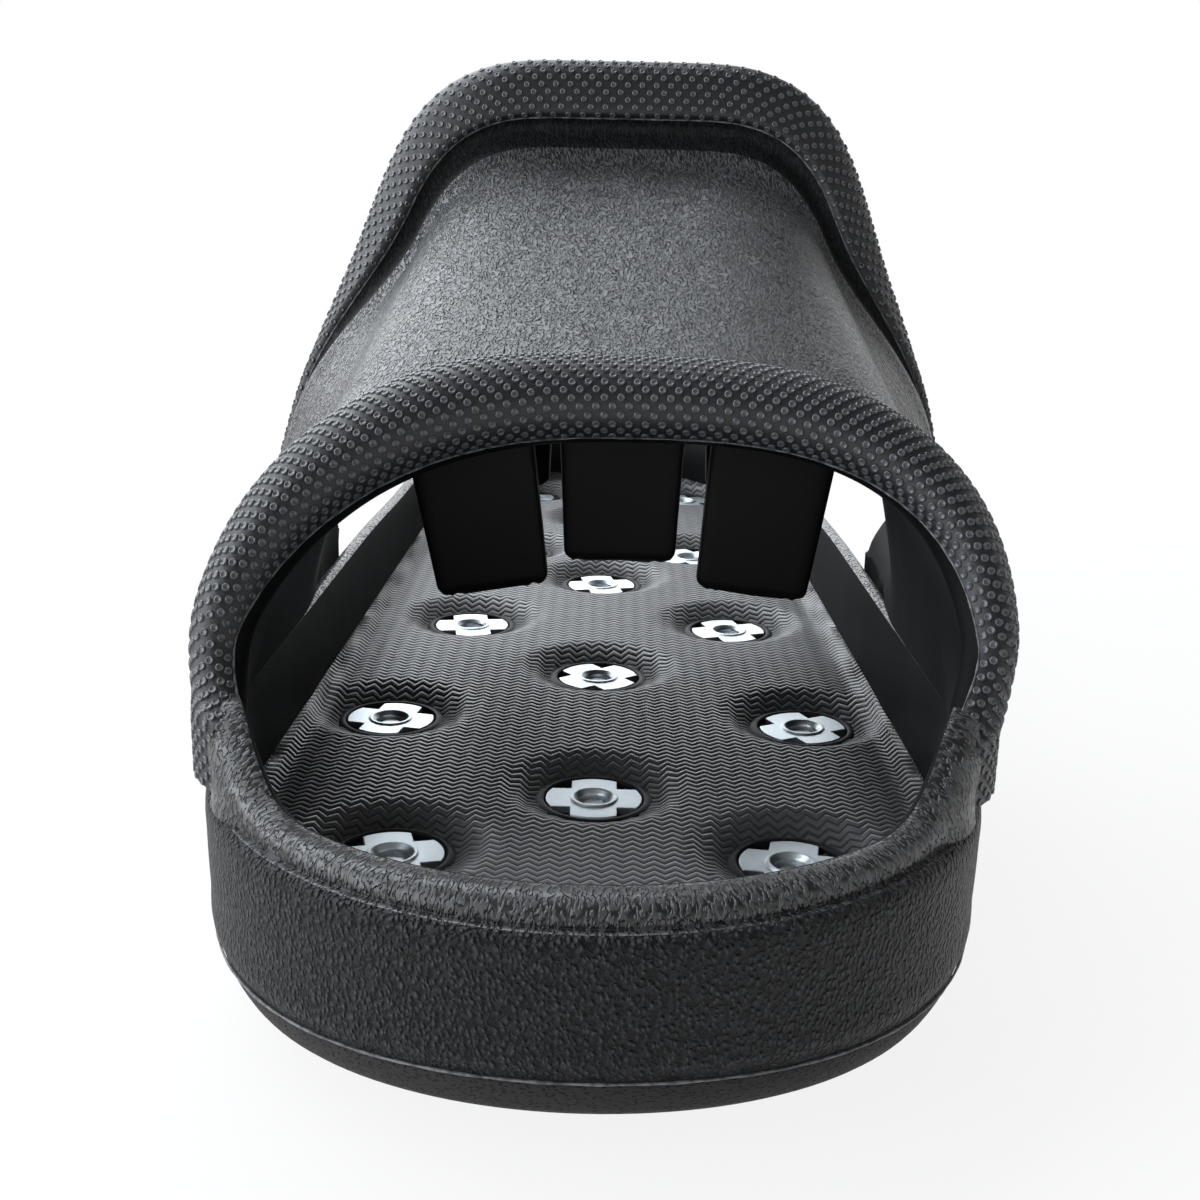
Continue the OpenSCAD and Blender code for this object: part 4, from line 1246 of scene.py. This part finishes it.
class OVERSHOE_OT_fins(bpy.types.Operator):
    """Six hanging grip fins with rounded edges and trimmed tips, and the web above each"""

    bl_idname = "overshoe.fins"
    bl_label = "Grip fins"

    # Points round a blade and down it, rings in each rounded end, and the power that squares its section
    around, down, end_rings, square = 40, 44, 8, 0.22
    # Waves of a trimmed tip: radians per metre across it, shift per metre of the fin's place, and height
    nicks = ((900, 4000, 1.0), (2300, 9000, 0.6))
    web_points = 9
    # Lean of the blades, as a share of their root's lean
    lean = {"front": 1.0, "rear": 0.0}
    # Place of each row from front to back, and how far a web is let into the panel
    place = {"front": 0.14, "rear": 0.62}
    tuck = 0.0025

    def execute(self, context):
        shell = UpperShell(SolePlan())
        foam, shell_foam = fin_foam(), smooth_foam()
        for joint in frame["joints"]:
            _, row, side, _ = joint["name"].split("_")
            root = np.array(joint["pos_m"])
            tilt = math.atan2(joint["axis"][2], -joint["axis"][0])
            name = f"fin_{row}_{side}"
            blade = self.blade(name + "_blade", shell.plan, root, tilt, row, side)
            dress(blade, "fin_foam", foam, body=joint["child"], nodes=[name], crease=60)
            web = self.web(name + "_web", shell, root, tilt, row)
            dress(web, "upper_foam", shell_foam)
        return {"FINISHED"}

    def blade(self, name, plan, root, tilt, row, side):
        """A blade from its round root to its trimmed tip."""
        f = settings().fins
        tip = (f.front_tip if row == "front" else f.rear_tip) - (0 if side == "middle" else f.outer_drop)
        length = root[2] - plan.foot_z - tip
        hang = tilt * self.lean[row]
        root_r, tip_r = f.root_thickness / 2, f.tip_thickness / 2
        quarter = np.linspace(0, np.pi / 2, self.end_rings + 1)
        s = np.concatenate([-root_r * np.cos(quarter[:-1]),
                            np.linspace(0, length - f.corner, self.down - 2 * self.end_rings),
                            length - f.corner * (1 - np.sin(quarter[1:]))])
        part = np.clip(s / length, 0, 1)
        thick = between(root_r, tip_r, part)
        thick = np.where(s < 0, np.sqrt(np.maximum(0, root_r ** 2 - s ** 2)), thick)
        close = np.clip((s - (length - f.corner)) / f.corner, 0, 1)
        rounding = np.sqrt(1 - close ** 2)
        thick = thick * rounding
        wide = between(f.root_width, f.tip_width, part) / 2 - f.corner * (1 - rounding)
        turn = np.linspace(0, 2 * np.pi, self.around + 1)
        c, n = np.cos(turn), np.sin(turn)
        across = (np.sign(c) * np.abs(c) ** self.square)[None] * wide[:, None]
        depth = (np.sign(n) * np.abs(n) ** (2 * self.square))[None] * thick[:, None]
        waves = [high * np.sin(across * wave + root[0] * shift) for wave, shift, high in self.nicks]
        drop = s[:, None] - f.ragged * np.abs(sum(waves)) * close[:, None]
        lean = between(tilt, hang, part[:, None])
        rows = point(root[0] + across * np.cos(lean) + drop * -math.sin(hang),
                     root[1] + depth,
                     root[2] - across * np.sin(lean) - drop * math.cos(hang))
        return close_up(grid_piece(name, rows))

    def web(self, name, shell, root, tilt, row):
        """The web between the ceiling and a fin's root."""
        f = settings().fins
        rise = f.root_thickness / 2 + f.gap
        axis = np.array([math.cos(tilt), -math.sin(tilt)])
        foot = np.array([root[0], root[2]]) + np.array([math.sin(tilt), math.cos(tilt)]) * rise
        x = foot[0] + np.linspace(-1, 1, self.web_points) * f.root_width / 2 * axis[0]
        low = foot[1] + (x - foot[0]) * axis[1] / axis[0]
        high = shell.ceiling(x, self.place[row]) + self.tuck
        front, back = root[1] - f.root_thickness / 2, root[1] + f.root_thickness / 2
        edges = ((front, low), (back, low), (back, high), (front, high), (front, low))
        rows = np.array([point(x, y, z) for y, z in edges])
        return close_up(grid_piece(name, rows))


class OVERSHOE_OT_hardware(bpy.types.Operator):
    """Zinc tee nuts, steel studs and carbide tips: worn edges and plated metal"""

    bl_idname = "overshoe.hardware"
    bl_label = "Studs and tee nuts"

    # Each kind of part: its metal's name, colour, roughness and wear, and the width of its worn edges
    kinds = {"tee_nut_": (("zinc_plate", "zinc", 0.34, 0.35), 0.00028),
             "stud_": (("stud_steel", "steel", 0.28, 0.25), 0.0004),
             "carbide_": (("carbide", "carbide", 0.34, 0.20), 0.0003)}
    edge_segments, edge_angle = 2, math.radians(40)

    def execute(self, context):
        for start, (finish, width) in self.kinds.items():
            metal = plated_metal(*finish)
            for name, node in frame["nodes"].items():
                if name.startswith(start):
                    self.wear(node, metal, width)
        return {"FINISHED"}

    def wear(self, node, metal, width):
        """Gives a part of the frame its metal and its worn edges."""
        node.data.materials.clear()
        node.data.materials.append(metal)
        weld = node.modifiers.new("weld", "WELD")
        weld.merge_threshold = MERGE
        edge = node.modifiers.new("edge", "BEVEL")
        edge.width, edge.segments = width, self.edge_segments
        edge.limit_method, edge.angle_limit = "ANGLE", self.edge_angle
        edge.harden_normals = False


class OVERSHOE_OT_stage(bpy.types.Operator):
    """Pale floor, soft studio light and the camera"""

    bl_idname = "overshoe.stage"
    bl_label = "Stage"

    # Heights between which the white walls of the studio give way to its dim ceiling
    white_walls = (0.35, 0.60)
    lamp_colour = (0.90, 0.95, 1.0)
    # Soft boxes: name, width, height, place and target
    soft_boxes = (("behind", 1.5, 1.0, (-0.55, 0.66, 1.02), (0, 0, 0.06)),
                  ("left", 1.4, 0.9, (-1.0, -0.30, 0.48), (0, -0.08, 0.05)),
                  ("back", 1.6, 0.5, (-0.2, 1.2, 0.45), (0, 0, 0.05)))
    # Size of the floor and its parts along a side, and the camera's sensor in millimetres and nearest sight
    floor_size, floor_parts, sensor, nearest = 12, 8, 36, 0.01

    def soft_box(self, power, name, width, height, place, target):
        """A large area light aimed at a point."""
        light = bpy.data.lights.new(name, "AREA")
        light.shape = "RECTANGLE"
        light.size, light.size_y, light.energy = width, height, power
        light.color = self.lamp_colour
        lamp = bpy.data.objects.new(name, light)
        lamp.location = place
        lamp.rotation_euler = (Vector(target) - Vector(place)).to_track_quat("-Z", "Y").to_euler()
        lamp.visible_camera = False
        bpy.context.scene.collection.objects.link(lamp)

    def execute(self, context):
        stage, scene = settings().stage, context.scene
        bpy.ops.mesh.primitive_grid_add(
            x_subdivisions=self.floor_parts, y_subdivisions=self.floor_parts, size=self.floor_size)
        floor = added("floor")
        floor.data.materials.append(pale_floor())

        for power, lamp in zip((stage.key_power, stage.side_power, stage.back_power), self.soft_boxes):
            self.soft_box(power, *lamp)

        world = bpy.data.worlds.new("studio")
        scene.world = world
        paint = Paint(world)
        level = stage.world_level
        up = paint.parts(paint.node("TexCoord", out="Generated"))[2]
        low_down = paint.ramp(up, *self.white_walls, 1.0, 0.0)
        air = paint.node("Background", {}, {"Color": (1, 1, 1, 1), "Strength": level})
        white = paint.node("Background", {}, {"Color": (1, 1, 1, 1), "Strength": 1.0})
        both = paint.node("MixShader", {}, {0: paint.seen() * low_down, 1: air, 2: white})
        paint.node("OutputWorld", {}, {"Surface": both})

        view = bpy.data.cameras.new("camera")
        view.lens, view.sensor_width, view.sensor_fit = stage.lens, self.sensor, "HORIZONTAL"
        view.clip_start = self.nearest
        camera = bpy.data.objects.new("camera", view)
        turn = (Matrix.Rotation(stage.yaw, 4, "Z") @ Matrix.Rotation(stage.pitch, 4, "X")
                @ Matrix.Rotation(stage.roll, 4, "Y") @ Matrix.Rotation(math.pi / 2, 4, "X"))
        camera.matrix_world = Matrix.Translation(stage.eye) @ turn
        scene.collection.objects.link(camera)
        scene.camera = camera
        scene.view_settings.view_transform = "Standard"
        return {"FINISHED"}


class OVERSHOE_PT_sidebar(bpy.types.Panel):
    """Lists the overshoe's pieces"""

    bl_idname = "OVERSHOE_PT_sidebar"
    bl_label = "Anti-slip Overshoe"
    bl_space_type = "VIEW_3D"
    bl_region_type = "UI"
    bl_category = "Overshoe"

    def draw(self, context):
        for operator in OPERATORS:
            self.layout.operator(operator.bl_idname)


GROUPS = (SoleSizes, UpperSizes, FootbedSizes, FinSizes, Finishes, StageSettings, OvershoeSettings)
OPERATORS = (OVERSHOE_OT_outsole, OVERSHOE_OT_tray, OVERSHOE_OT_footbed, OVERSHOE_OT_upper, OVERSHOE_OT_fins,
             OVERSHOE_OT_hardware, OVERSHOE_OT_stage)
CLASSES = (*GROUPS, *OPERATORS, OVERSHOE_PT_sidebar)


def register():
    """Registers the settings, the operators and the panel."""
    for cls in CLASSES:
        bpy.utils.register_class(cls)
    bpy.types.Scene.overshoe = PointerProperty(type=OvershoeSettings)


def unregister():
    """Takes all of it away again."""
    del bpy.types.Scene.overshoe
    for cls in reversed(CLASSES):
        bpy.utils.unregister_class(cls)


def main():
    """Builds the overshoe on its frame."""
    register()
    bpy.ops.overshoe.outsole()
    bpy.ops.overshoe.tray()
    bpy.ops.overshoe.footbed()
    bpy.ops.overshoe.upper()
    bpy.ops.overshoe.fins()
    bpy.ops.overshoe.hardware()
    bpy.ops.overshoe.stage()


if __name__ == "__main__":
    main()
